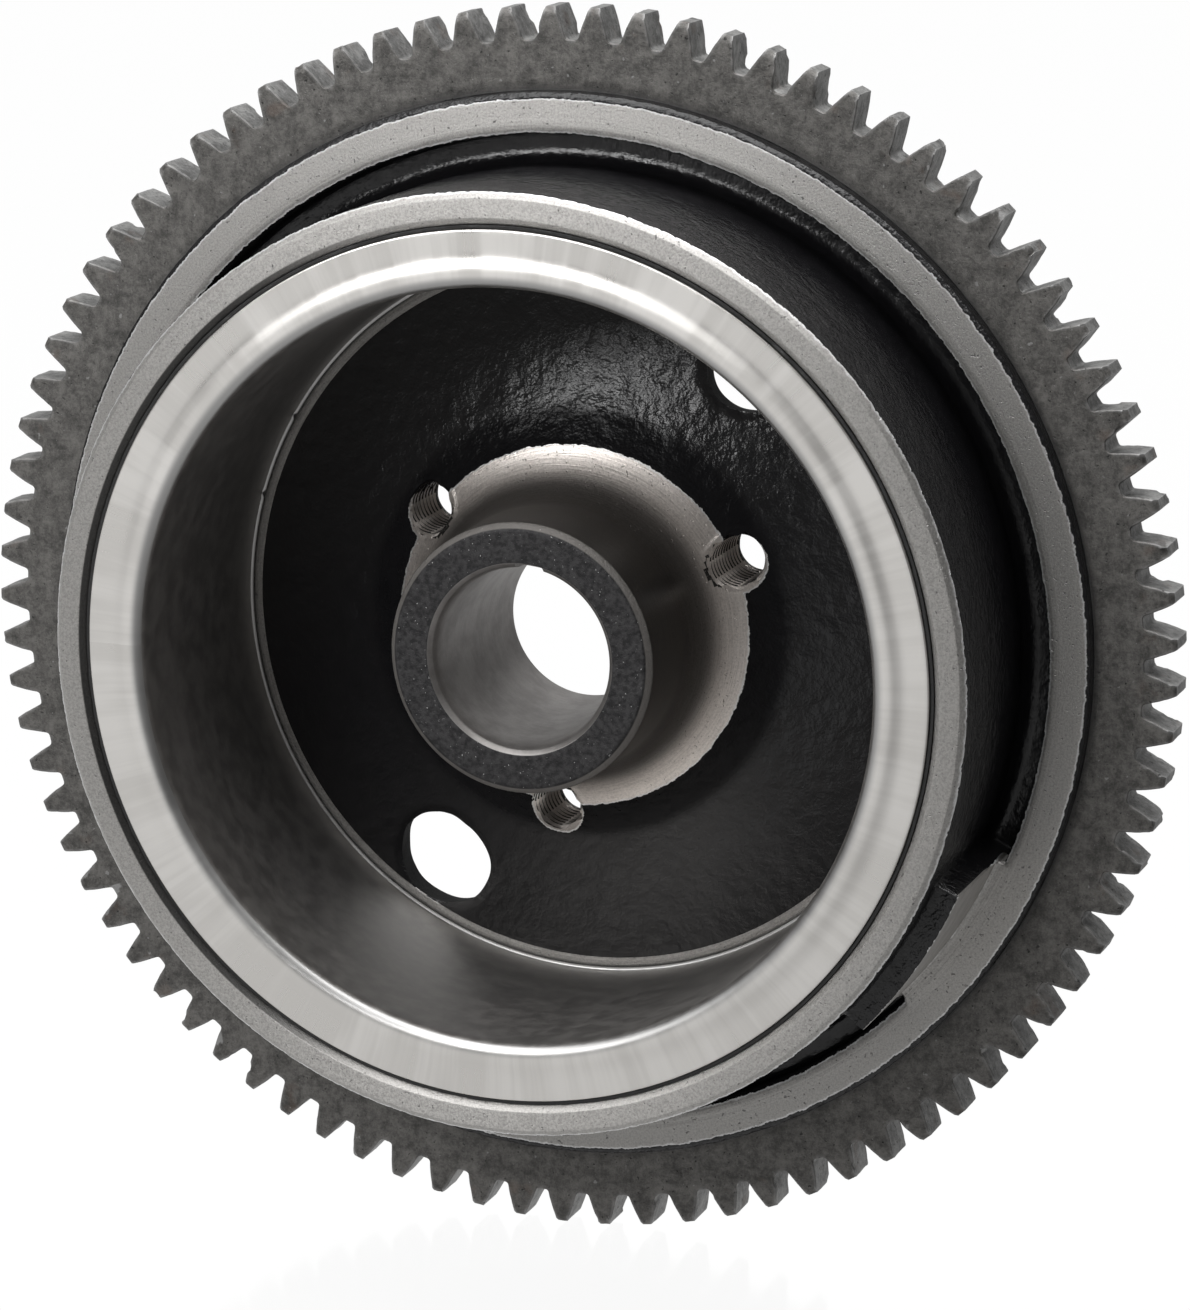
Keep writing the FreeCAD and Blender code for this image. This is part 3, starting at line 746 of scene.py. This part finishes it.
def build_ring_gear():
    rows = gear_side_rows()
    count = len(rows[0])
    points = [p for row in rows for p in row]
    faces = grid_faces(len(rows), count, close_rows=False).tolist()
    front = gear_face(points, faces, 0, count // TEETH, GEAR_FRONT)
    back = gear_face(points, faces, (len(rows) - 1) * count, count // TEETH, GEAR_BACK)
    faces += strip(front, back, closed=True)
    piece = make_mesh("starter_ring_gear", points, faces)
    middles, normals = face_places(piece)
    on_teeth = (np.abs(normals[:, 1]) < 0.5) & (polar(middles)[0] > ROOT_RADIUS - 1)
    # The teeth take a lighter copy of the steel than the flat faces: painted light, for the teeth catching
    # more light than the faces.
    face = gear_steel("ring_gear_face", (0.058, 0.056, 0.053), (0.175, 0.168, 0.159), 0.6, 0.5)
    teeth = gear_steel("ring_gear_teeth", (0.12, 0.119, 0.117), (0.36, 0.358, 0.35), 0.75, 0.42)
    finish_piece(piece, "ring_gear", [face, teeth], on_teeth)


# ---- liner and potting

LINER_COLUMNS, POTTING_COLUMNS = 540, 480
LINER_BREAKS = [math.radians(150), math.radians(164)]
BREAK_WIDTH, BREAK_DEPTH, RIPPLE = 0.45, 0.4, 0.025
LIP_START, LIP_DEPTH, LIP_INNER = 10.86, 0.18, CURL_RADIUS + 0.08


def sheet_section():
    """The pressed liner's sheet: flange, raised bead, wall and the curl at its rear end."""
    shown = outline(
        (FLANGE_OUTER, FLANGE_FACE + SHEET, 0, 0.3),
        (FLANGE_OUTER, FLANGE_FACE, 0.25, 0.5),
        (BEAD_OUTER + 0.4, FLANGE_FACE, 0.9, 0.3),
        (BEAD_TOP - 0.4, LINER_FRONT, 0.7, 0.3),
        (LINER_WALL + BEAD_ROUND, LINER_FRONT, 0, 0.3),
    )
    bend_end = (LINER_WALL, LINER_FRONT + BEAD_ROUND)
    bend = arc((LINER_WALL + BEAD_ROUND, LINER_FRONT), bend_end, BEAD_ROUND, 11)
    wall = spaced(bend_end, (LINER_WALL, LIP_START), 1.0)
    turn = np.linspace(0, math.pi / 2, 8)
    inward = LIP_INNER + (LINER_WALL - LIP_INNER) * np.cos(turn)
    lip = np.stack([inward, LIP_START + LIP_DEPTH * np.sin(turn)], axis=1)
    behind = outline(
        (LIP_INNER, LIP_START + LIP_DEPTH + 0.05, 0, 0.2),
        (LIP_INNER, LINER_END, 0.05, 0.2),
        (LIP_INNER + SHEET, LINER_END, 0.12, 0.3),
        (LINER_WALL + SHEET, CURL_START, 0.3, 3.0),
        (LINER_WALL + SHEET, LINER_FRONT + BEAD_ROUND, 0.8, 0.5),
        (LINER_WALL + BEAD_ROUND, LINER_FRONT + SHEET, 0.5, 0.6),
        (BEAD_TOP + 0.2, LINER_FRONT + SHEET, 0.3, 0.3),
        (BEAD_OUTER + 0.1, FLANGE_FACE + SHEET, 0.2, 1.0),
        (FLANGE_OUTER, FLANGE_FACE + SHEET, 0, 0.3),
    )
    return np.vstack([shown, bend, wall, lip, behind[:-1]])


def build_liner():
    piece = lathe("magnet_liner_sheet", sheet_section(), LINER_COLUMNS)
    points = vertices(piece)
    radius, y, angle = polar(points)
    around = np.stack([np.cos(angle) * 8, y / 14, np.sin(angle) * 8], axis=1)
    ripple = RIPPLE * lattice_noise(around, 1.0, 31) * smooth_step(y, LINER_FRONT + 2, LINER_FRONT + 6)
    from_breaks = [angle_apart(angle, middle) * CURL_RADIUS / BREAK_WIDTH for middle in LINER_BREAKS]
    nicks = sum(np.exp(-(away**4)) for away in from_breaks)
    lip = smooth_step(y, LIP_START, LIP_START + LIP_DEPTH / 2) * (radius < LINER_WALL + 0.3)
    radius = radius + ripple + BREAK_DEPTH * nicks * lip
    move_vertices(piece, ring_points(radius, y, angle))
    radius, y, _ = polar(face_places(piece)[0])
    zones = ((radius < LINER_WALL + 0.25) | (y > LINER_FRONT + 2)) & (y < LIP_START)
    finish_piece(piece, "magnet_liner", [flange_steel(), wall_steel()], zones, 45)


def build_potting():
    """The black resin that fills the cup round the magnets. Only its lip shows, round the flange."""
    under_flange = POTTING_FRONT + 0.4
    inner, beside_flange, outer = LINER_WALL + SHEET + 0.04, FLANGE_OUTER + 0.05, CUP_BORE - 0.04
    section = outline(
        (inner, under_flange, 0, 0.8),
        (beside_flange, under_flange, 0.1, 0.2),
        (beside_flange, POTTING_FRONT, 0.1, 0.15),
        (outer, POTTING_FRONT, 0.1, 0.8),
        (outer, POTTING_BACK, 0.1, 1.5),
        (inner, POTTING_BACK, 0, 0.8),
        closed=True,
    )
    piece = lathe("potting_resin", section, POTTING_COLUMNS)
    points = vertices(piece)
    radius, y, angle = polar(points)
    front = 1 - smooth_step(y, POTTING_FRONT + 0.05, POTTING_FRONT + 0.35)
    sag = 0.2 * np.abs(lattice_noise(points, 2.5, 41)) + 0.08 * np.abs(lattice_noise(points, 0.9, 43))
    move_vertices(piece, ring_points(radius, y + front * sag, angle))
    finish_piece(piece, "potting_ring", [grained("potting_resin")])


def dress_hidden_parts():
    """Gives the magnets and their cage, which the liner hides, real finishes on the CAD's shapes."""
    ferrite, plastic = grained("sintered_ferrite"), grained("cage_plastic")
    for name, node in frame["nodes"].items():
        if name.startswith("magnet_") and name != "magnet_liner":
            node.data.materials.clear()
            node.data.materials.append(plastic if name == "magnet_cage" else ferrite)


# ---- materials


class Recipe:
    """Builds one material's node tree. A value is a node's output or a number; lengths are in mm."""

    def __init__(self, name=None, tree=None):
        if tree is None:
            self.material = bpy.data.materials.new(name)
            self.material.use_nodes = True
            tree = self.material.node_tree
        self.tree = tree
        self.tree.nodes.clear()
        here = self.node("TexCoord", output="Object")
        self.place = self.node("VectorMath", {0: here, 1: (1 / MM,) * 3}, operation="MULTIPLY")
        self.x, self.y, z = [self.node("SeparateXYZ", {0: self.place}, output=i) for i in range(3)]
        self.radius = self.math("SQRT", self.plus(self.times(self.x, self.x), self.times(z, z)))
        self.angle = self.math("ARCTAN2", z, self.x)

    def node(self, kind, inputs=None, output=0, **settings):
        node = self.tree.nodes.new("ShaderNode" + kind)
        for key, value in settings.items():
            setattr(node, key, value)
        for key, value in (inputs or {}).items():
            if isinstance(value, bpy.types.NodeSocket):
                self.tree.links.new(value, node.inputs[key])
            else:
                node.inputs[key].default_value = value
        return node.outputs[output] if node.outputs else node

    def math(self, operation, *values):
        return self.node("Math", dict(enumerate(values)), operation=operation)

    def times(self, a, b):
        return self.math("MULTIPLY", a, b)

    def plus(self, a, b):
        return self.math("ADD", a, b)

    def weigh(self, *parts):
        """The sum of values, each given with its weight."""
        return functools.reduce(self.plus, [self.times(value, weight) for value, weight in parts])

    def noise(self, size, detail=3.0, rough=0.55, at=None):
        """Cloudy noise from 0 to 1 with features of about `size`."""
        inputs = {"Vector": at or self.place, "Scale": 1 / size, "Detail": detail, "Roughness": rough}
        return self.node("TexNoise", inputs)

    def ramp(self, value, low, high, start=0.0, end=1.0):
        """Goes smoothly from start to end as the value goes from low to high."""
        inputs = {"Value": value, "From Min": low, "From Max": high, "To Min": start, "To Max": end}
        return self.node("MapRange", inputs, interpolation_type="SMOOTHSTEP")

    def spread(self, noise, start=0.0, end=1.0):
        """Spreads a noise's usual range over start to end."""
        return self.ramp(noise, 0.3, 0.7, start, end)

    def mix(self, share, a, b):
        """Colours a and b by share. The Mix node's inputs 6 and 7 and its output 2 are its colours."""
        colours = {0: share}
        for index, colour in ((6, a), (7, b)):
            colours[index] = colour if isinstance(colour, bpy.types.NodeSocket) else grey(colour)
        return self.node("Mix", colours, output=2, data_type="RGBA")

    def layers(self, colour, *layers):
        """Lays tints over a colour in turn, each given as where, how much and the tint."""
        for where, amount, tint in layers:
            colour = self.mix(self.times(where, amount), colour, tint)
        return colour

    def blend(self, share, a, b):
        """Numbers a and b by share."""
        return self.node("Mix", {0: share, 2: a, 3: b}, output=0, data_type="FLOAT")

    def around(self, per_radius, per_height, per_turn):
        """Coordinates whose noise makes marks that run round the axis or across it."""
        scales = ((self.radius, per_radius), (self.y, per_height), (self.angle, per_turn))
        return self.node("CombineXYZ", {i: self.times(*scale) for i, scale in enumerate(scales)})

    def surface(self, colour, metal, rough, height, **extra):
        """Finishes the material; height is the relief in mm."""
        bump = self.node("Bump", {"Height": height, "Distance": MM, "Strength": 1.0})
        inputs = {"Base Color": colour, "Metallic": metal, "Roughness": rough, "Normal": bump}
        inputs.update({key.replace("_", " "): value for key, value in extra.items()})
        shader = self.node("BsdfPrincipled", inputs)
        self.node("OutputMaterial", {"Surface": shader})
        return self.material


def grey(value):
    """A colour from a single grey level or from red, green and blue."""
    red, green, blue = (value,) * 3 if isinstance(value, (int, float)) else value
    return (red, green, blue, 1.0)


TURNED_GLOSS, QUARTER_TURN = 0.65, 0.25  # how far turning marks stretch a reflection, and which way


def paint_mask(r):
    """Share of paint, with a crumbled edge, and a strip of bare metal beside it brightened as a painted
    highlight.
    """
    wander = r.math("SUBTRACT", r.noise(1.1, 2), 0.5)
    crumble = r.math("SUBTRACT", r.noise(0.35, 3, 0.7), 0.5)
    paint = r.node("Attribute", output="Fac", attribute_name="paint")
    depth = r.weigh((paint, 1.0), (wander, 0.6), (crumble, 0.35))
    painted = r.ramp(depth, -0.03, 0.03)
    # Painted highlight: the bare strip along the paint's edge is made bright, standing in for light caught by
    # the edge.
    edge_painted_highlight = r.times(r.ramp(depth, -0.32, -0.1), r.math("SUBTRACT", 1.0, painted))
    return painted, edge_painted_highlight


def iron_colour(r, in_sweep, texture, pits, edge_painted_highlight):
    """Bare iron: warmer and brighter in the sweep, with painted shade at both ends of the sweep and on the
    left of the cup bore's chamfer, and a painted highlight along the paint's edge.
    """
    bright = r.mix(in_sweep, (0.53, 0.517, 0.498), (0.78, 0.725, 0.68))
    dark = r.mix(in_sweep, (0.34, 0.33, 0.318), (0.6, 0.555, 0.52))
    iron = r.mix(r.ramp(texture, 0.38, 0.6), dark, bright)
    iron = r.layers(iron, (pits, r.blend(in_sweep, 0.6, 0.25), 0.08))
    # Painted shade: the sweep is darkened towards the hub and towards its outer edge.
    sweep_painted_shade = r.plus(r.ramp(r.radius, 23.2, 20.5, 0.0, 0.7), r.ramp(r.radius, 27.3, 29.6, 0.0, 0.5))
    iron = r.layers(iron, (sweep_painted_shade, r.ramp(r.y, 9.0, 8.0), r.mix(in_sweep, iron, 0.02)))
    # Painted shade: the cup bore's chamfer is darkened on the left side.
    chamfer_painted_shade = r.times(r.ramp(r.x, -12.0, -40.0, 0.0, 0.85), r.ramp(r.radius, 61.45, 61.25))
    return r.layers(iron, (chamfer_painted_shade, r.ramp(r.radius, 59.0, 60.0), 0.02), (edge_painted_highlight, 0.8, 0.85))


def skin_height(r):
    """Relief of the painted cast skin in mm: roughest down the cup's wall, smooth in the channel's foot."""
    peel = r.weigh((r.noise(0.9, 2, 0.5), 1.0), (r.noise(0.35, 2, 0.5), 0.4))
    outside = r.ramp(r.radius, 55.0, 62.0)
    relief = r.times(peel, r.blend(outside, 0.13, r.ramp(r.y, 0.0, 1.5, 0.24, 0.09)))
    return r.plus(relief, 0.07)


def cast_iron():
    """Black glossy paint over a cast skin, with ragged edges where tools have bared the iron."""
    r = Recipe("painted_cast_iron")
    painted, edge_painted_highlight = paint_mask(r)
    grain = r.noise(0.3, 4, 0.75)
    pits = r.ramp(r.noise(0.5, 2, 0.5), 0.66, 0.74)
    in_sweep = r.ramp(r.radius, 40.0, 30.0)
    on_rim = r.times(r.ramp(r.radius, 72.6, 70.8), r.ramp(r.radius, 67.0, 69.0))
    turned = r.math("MAXIMUM", r.math("MAXIMUM", in_sweep, on_rim), r.ramp(r.y, 9.0, 10.0))
    marks = r.blend(turned, 0.5, r.noise(1.0, 3, 0.6, r.around(5.0, 5.0, 4.0)))

    iron = iron_colour(r, in_sweep, r.weigh((grain, 0.65), (marks, 0.35)), pits, edge_painted_highlight)
    black = r.mix(r.noise(3.0, 3), (0.005, 0.005, 0.0058), (0.010, 0.0096, 0.0106))
    gloss = r.spread(r.noise(2.2, 3), 0.17, 0.27)
    sweep_rough = r.spread(grain, 0.28, 0.38)
    bare_rough = r.blend(in_sweep, r.spread(grain, 0.42, 0.56), sweep_rough)
    grain_height, mark_height = r.blend(in_sweep, 0.06, 0.03), r.blend(in_sweep, 0.012, 0.035)
    cut_height = r.weigh((grain, grain_height), (pits, -0.06), (marks, mark_height))
    return r.surface(
        r.mix(painted, iron, black),
        r.ramp(painted, 0.0, 1.0, 0.95, 0.0),
        r.blend(painted, bare_rough, gloss),
        r.blend(painted, cut_height, skin_height(r)),
        # Painted shade: less specular reflection on the paint just outside the sweep gives a dark ring there.
        Specular_IOR_Level=r.ramp(r.radius, 32.0, 29.5, 0.5, 0.12),
        Tangent=r.node("Tangent", direction_type="RADIAL", axis="Y"),
        Anisotropic=r.ramp(painted, 0.0, 1.0, TURNED_GLOSS, 0.0),
        Anisotropic_Rotation=QUARTER_TURN,
    )


DARK_FERRITE, PALE_FERRITE = (0.035, 0.035, 0.038), (0.085, 0.083, 0.082)
GRAINED = {  # the noise's size, detail and roughness, then two colours, metal, two roughnesses and relief
    "vent_paint": ((0.8, 4, 0.7), (0.002, 0.009), 0.0, (0.75, 0.75), 0.3),
    "potting_resin": ((0.6, 3, 0.6), (0.006, 0.016), 0.0, (0.35, 0.6), 0.1),
    "sintered_ferrite": ((0.4, 4, 0.7), (DARK_FERRITE, PALE_FERRITE), 0.35, (0.45, 0.65), 0.04),
    "cage_plastic": ((0.5, 3, 0.6), (0.014, 0.03), 0.0, (0.5, 0.65), 0.05),
}


def grained(name, **extra):
    """A material whose colour, gloss and relief follow one noise."""
    grain, colours, metal, gloss, relief = GRAINED[name]
    r = Recipe(name)
    noise = r.noise(*grain)
    rough = r.spread(noise, *gloss)
    return r.surface(r.mix(noise, *colours), metal, rough, r.times(noise, relief), **extra)


def hub_end_face():
    """Blackened end face of the hub: mottled, with worn bright grains."""
    r = Recipe("hub_end_face")
    cloud = r.noise(0.8, 4, 0.65)
    grain = r.noise(0.35, 3, 0.7)
    sparks = r.ramp(r.noise(0.28, 1, 0.4), 0.74, 0.8)
    colour = r.mix(r.ramp(cloud, 0.35, 0.65), (0.016, 0.0155, 0.0165), (0.05, 0.0485, 0.05))
    chamfer = r.ramp(r.radius, 18.0, 18.2), 0.7, (0.26, 0.245, 0.23)
    colour = r.layers(colour, (sparks, r.ramp(r.radius, 16.8, 17.8, 0.7, 1.0), 0.6), chamfer)
    height = r.weigh((grain, 0.12), (cloud, 0.05))
    return r.surface(colour, 0.55, r.spread(cloud, 0.42, 0.6), height)


def bore_steel():
    """The ground taper: smooth and even, with faint turning marks and a few stains."""
    r = Recipe("ground_bore")
    marks = r.noise(1.0, 3, 0.6, r.around(0.0, 6.0, 1.5))
    stain = r.noise(3.5, 4, 0.6)
    grain = r.noise(0.3, 3, 0.7)
    colour = r.mix(r.ramp(stain, 0.3, 0.75), (0.34, 0.325, 0.315), (0.24, 0.228, 0.22))
    colour = r.mix(r.ramp(grain, 0.45, 0.75, 0.0, 0.3), colour, 0.2)
    height = r.weigh((marks, 0.01), (grain, 0.01))
    return r.surface(colour, 0.9, r.spread(marks, 0.4, 0.5), height)


def thread_steel():
    """Cut threads: dark and oily in the grooves, bright where the tap has ripped the crests."""
    r = Recipe("tapped_thread")
    crest = r.ramp(r.noise(0.4, 3, 0.7), 0.52, 0.78)
    colour = r.mix(crest, (0.045, 0.042, 0.04), (0.4, 0.39, 0.37))
    return r.surface(colour, 0.85, r.ramp(crest, 0.0, 1.0, 0.45, 0.28), r.times(crest, 0.04))


def turned_lug():
    """The trigger lug's turned outside: even satin grey with fine rings."""
    r = Recipe("turned_lug")
    rings = r.noise(1.0, 3, 0.6, r.around(0.0, 7.0, 1.0))
    cloud = r.noise(2.5, 3)
    colour = r.mix(r.spread(cloud), (0.46, 0.445, 0.425), (0.56, 0.54, 0.52))
    return r.surface(colour, 0.9, r.spread(rings, 0.42, 0.52), r.times(rings, 0.012))


def gear_steel(name, dark, light, metal, rough):
    """Blackened gear steel: mottled scale, light specks and nicks, dark pits and worn, brighter edges."""
    r = Recipe(name)
    cloud = r.noise(3.0, 5, 0.62)
    mottle = r.noise(0.9, 3, 0.7)
    grain = r.noise(0.3, 4, 0.75)
    specks = r.ramp(r.noise(0.4, 2, 0.6), 0.68, 0.74)
    nicks = r.ramp(r.noise(1.3, 2, 0.5), 0.70, 0.74)
    rust = r.times(r.ramp(r.noise(5.0, 3), 0.58, 0.7), r.ramp(r.radius, 80.5, 83.0))
    worn = r.ramp(r.node("NewGeometry", output="Pointiness"), 0.52, 0.58)
    blend = r.weigh((cloud, 0.4), (mottle, 0.3), (grain, 0.3))
    colour = r.mix(r.ramp(blend, 0.38, 0.62), dark, light)
    brighter = (specks, 0.5, 0.36), (nicks, 0.45, 0.4), (worn, 0.5, 0.45)
    pits = r.ramp(r.noise(0.7, 2, 0.5), 0.66, 0.72)
    colour = r.layers(colour, (rust, 0.3, (0.13, 0.08, 0.055)), *brighter, (pits, 0.7, 0.012))
    height = r.weigh((grain, 0.06), (pits, -0.08), (mottle, 0.06))
    return r.surface(colour, metal, r.spread(grain, rough - 0.06, rough + 0.08), height)


def flange_steel():
    """The liner's satin flange, with faint radial streaks from pressing and painted shade on its bend into
    the wall.
    """
    r = Recipe("liner_flange")
    streak = r.noise(1.0, 3, 0.6, r.around(0.02, 0.02, 34.0))
    wide = r.noise(1.0, 2, 0.5, r.around(0.05, 0.05, 7.0))
    fine = r.noise(0.25, 3, 0.7)
    blend = r.weigh((streak, 0.4), (wide, 0.6))
    colour = r.mix(r.ramp(blend, 0.4, 0.6), (0.72, 0.70, 0.67), (0.82, 0.80, 0.77))
    # Painted shade: the bend into the wall is darkened.
    colour = r.mix(r.ramp(r.radius, 54.0, 52.8, 0.0, 0.8), colour, 0.36)
    rough = r.plus(r.spread(blend, 0.26, 0.36), r.ramp(r.radius, 56.2, 55.4, 0.0, 0.07))
    return r.surface(colour, 1.0, rough, r.times(fine, 0.0015))


def wall_steel():
    """The liner's drawn wall: nearly a mirror, dulled in patches, with fine slanting scratches."""
    r = Recipe("liner_wall")
    slant = r.node("CombineXYZ", {0: r.weigh((r.angle, 90.0), (r.y, 1.4))})
    lines = r.noise(1.0, 4, 0.7, slant)
    patch = r.noise(9.0, 3)
    haze = r.noise(2.5, 3)
    scratch = r.times(r.ramp(lines, 0.56, 0.72), r.ramp(patch, 0.45, 0.6))
    # Painted shade: the wall's steel is darker than the flange's, for the shade inside the cup.
    colour = r.mix(r.spread(haze), (0.33, 0.319, 0.309), (0.4, 0.387, 0.374))
    rough = r.plus(r.spread(haze, 0.44, 0.52), r.times(scratch, 0.12))
    return r.surface(colour, 1.0, rough, r.times(scratch, -0.006))


# ---- studio

CAMERA_AZIMUTH, CAMERA_ELEVATION = math.radians(18.77), math.radians(12.67)
CAMERA_DISTANCE, CAMERA_LENS, SENSOR = 0.73974, 145.65, 36.0
AIM_RIGHT, AIM_UP, AIM_Y = 0.00333, -0.00388, 0.002


def look_at(thing, place, target):
    """Puts a camera or a light at a place, looking at a target."""
    thing.location = place
    thing.rotation_mode = "QUATERNION"
    thing.rotation_quaternion = (Vector(target) - Vector(place)).to_track_quat("-Z", "Y")


def build_camera():
    """The photograph's camera, fitted to the object's outlines in it."""
    az, el = CAMERA_AZIMUTH, CAMERA_ELEVATION
    right = Vector((math.cos(az), math.sin(az), 0))
    back = Vector((math.sin(az) * math.cos(el), -math.cos(az) * math.cos(el), math.sin(el)))
    up = back.cross(right)
    data = bpy.data.cameras.new("camera")
    data.sensor_fit, data.sensor_height, data.lens = "VERTICAL", SENSOR, CAMERA_LENS
    data.clip_start, data.clip_end = 0.05, 50
    camera = add_object("camera", data)
    aim = Vector((0, AIM_Y, 0)) + right * AIM_RIGHT + up * AIM_UP
    look_at(camera, aim + back * CAMERA_DISTANCE, aim)
    bpy.context.scene.camera = camera


def area_light(name, place, aim, size, power):
    data = bpy.data.lights.new(name, "AREA")
    data.shape, data.size, data.size_y, data.energy = "RECTANGLE", *size, power
    light = add_object(name, data)
    look_at(light, place, aim)
    light.visible_camera = False


def build_lights():
    area_light("ceiling_softbox", (0.05, -0.05, 0.75), (0, 0, 0), (1.2, 0.6), 8.0)
    area_light("front_softbox", (-0.21, -0.61, 0.29), (0, 0, 0), (0.32, 0.17), 1.15)
    area_light("near_softbox", (-0.16, -0.30, 0.22), (0, 0, 0.06), (0.12, 0.12), 0.25)
    area_light("left_softbox", (-0.57, -0.53, 0.53), (0, 0, 0), (0.35, 0.35), 0.5)


def build_world():
    """Pure white behind the object for the camera. For reflections, a grey backdrop and a lighter ceiling."""
    world = bpy.data.worlds.new("studio")
    world.use_nodes = True
    bpy.context.scene.world = world
    r = Recipe(tree=world.node_tree)
    direction = r.node("TexCoord", output="Generated")
    x, y, z = [r.node("SeparateXYZ", {0: direction}, output=i) for i in range(3)]
    backdrop = r.times(r.ramp(y, 0.0, 0.6), r.ramp(z, 0.05, 0.3, 0.17, 0.31))
    backdrop = r.times(backdrop, r.ramp(x, 0.6, -0.2, 0.6, 1.1))
    ceiling = r.ramp(z, 0.3, 0.9, 0.0, 0.5)
    front = r.ramp(x, 0.7, -0.3, 0.07, 0.16)
    studio = r.plus(r.plus(backdrop, ceiling), front)
    to_camera = r.node("LightPath", output="Is Camera Ray")
    strength = r.blend(to_camera, studio, 1.0)
    background = r.node("Background", {"Color": grey(1.0), "Strength": strength})
    r.node("OutputWorld", {"Surface": background})


def floor_material():
    """A bright white table with a faint, soft reflection. It is best lit in front and to the left."""
    r = Recipe("white_table")
    beside = r.math("MAXIMUM", r.ramp(r.x, 260.0, -60.0, 0.3, 1.0), r.ramp(r.y, -40.0, 60.0, 0.0, 0.6))
    light = r.times(r.ramp(r.y, -600.0, -120.0, 0.77, 0.65), beside)
    mirror = r.node("BsdfGlossy", {"Color": grey(1.0), "Roughness": 0.12})
    lit = r.node("Emission", {"Color": grey(1.0), "Strength": 1.08})
    table = r.node("Emission", {"Color": grey(1.0), "Strength": light})
    seen = r.node("MixShader", {0: r.ramp(r.y, -160.0, -20.0, 0.02, 0.13), 1: lit, 2: mirror})
    to_camera = r.node("LightPath", output="Is Camera Ray")
    r.node("OutputMaterial", {"Surface": r.node("MixShader", {0: to_camera, 1: table, 2: seen})})
    return r.material


def build_floor():
    level, size = cad_box[0].z - 0.0002, 4.0
    mesh = bpy.data.meshes.new("floor")
    corners = [(x * size, y * size, level) for x, y in ((-1, -1), (1, -1), (1, 1), (-1, 1))]
    mesh.from_pydata(corners, [], [(0, 1, 2, 3)])
    mesh.materials.append(floor_material())
    add_object("floor", mesh)


bpy.context.scene.view_settings.view_transform = "Standard"
build_casting()
build_ring_gear()
build_liner()
build_potting()
dress_hidden_parts()
build_floor()
build_world()
build_lights()
build_camera()
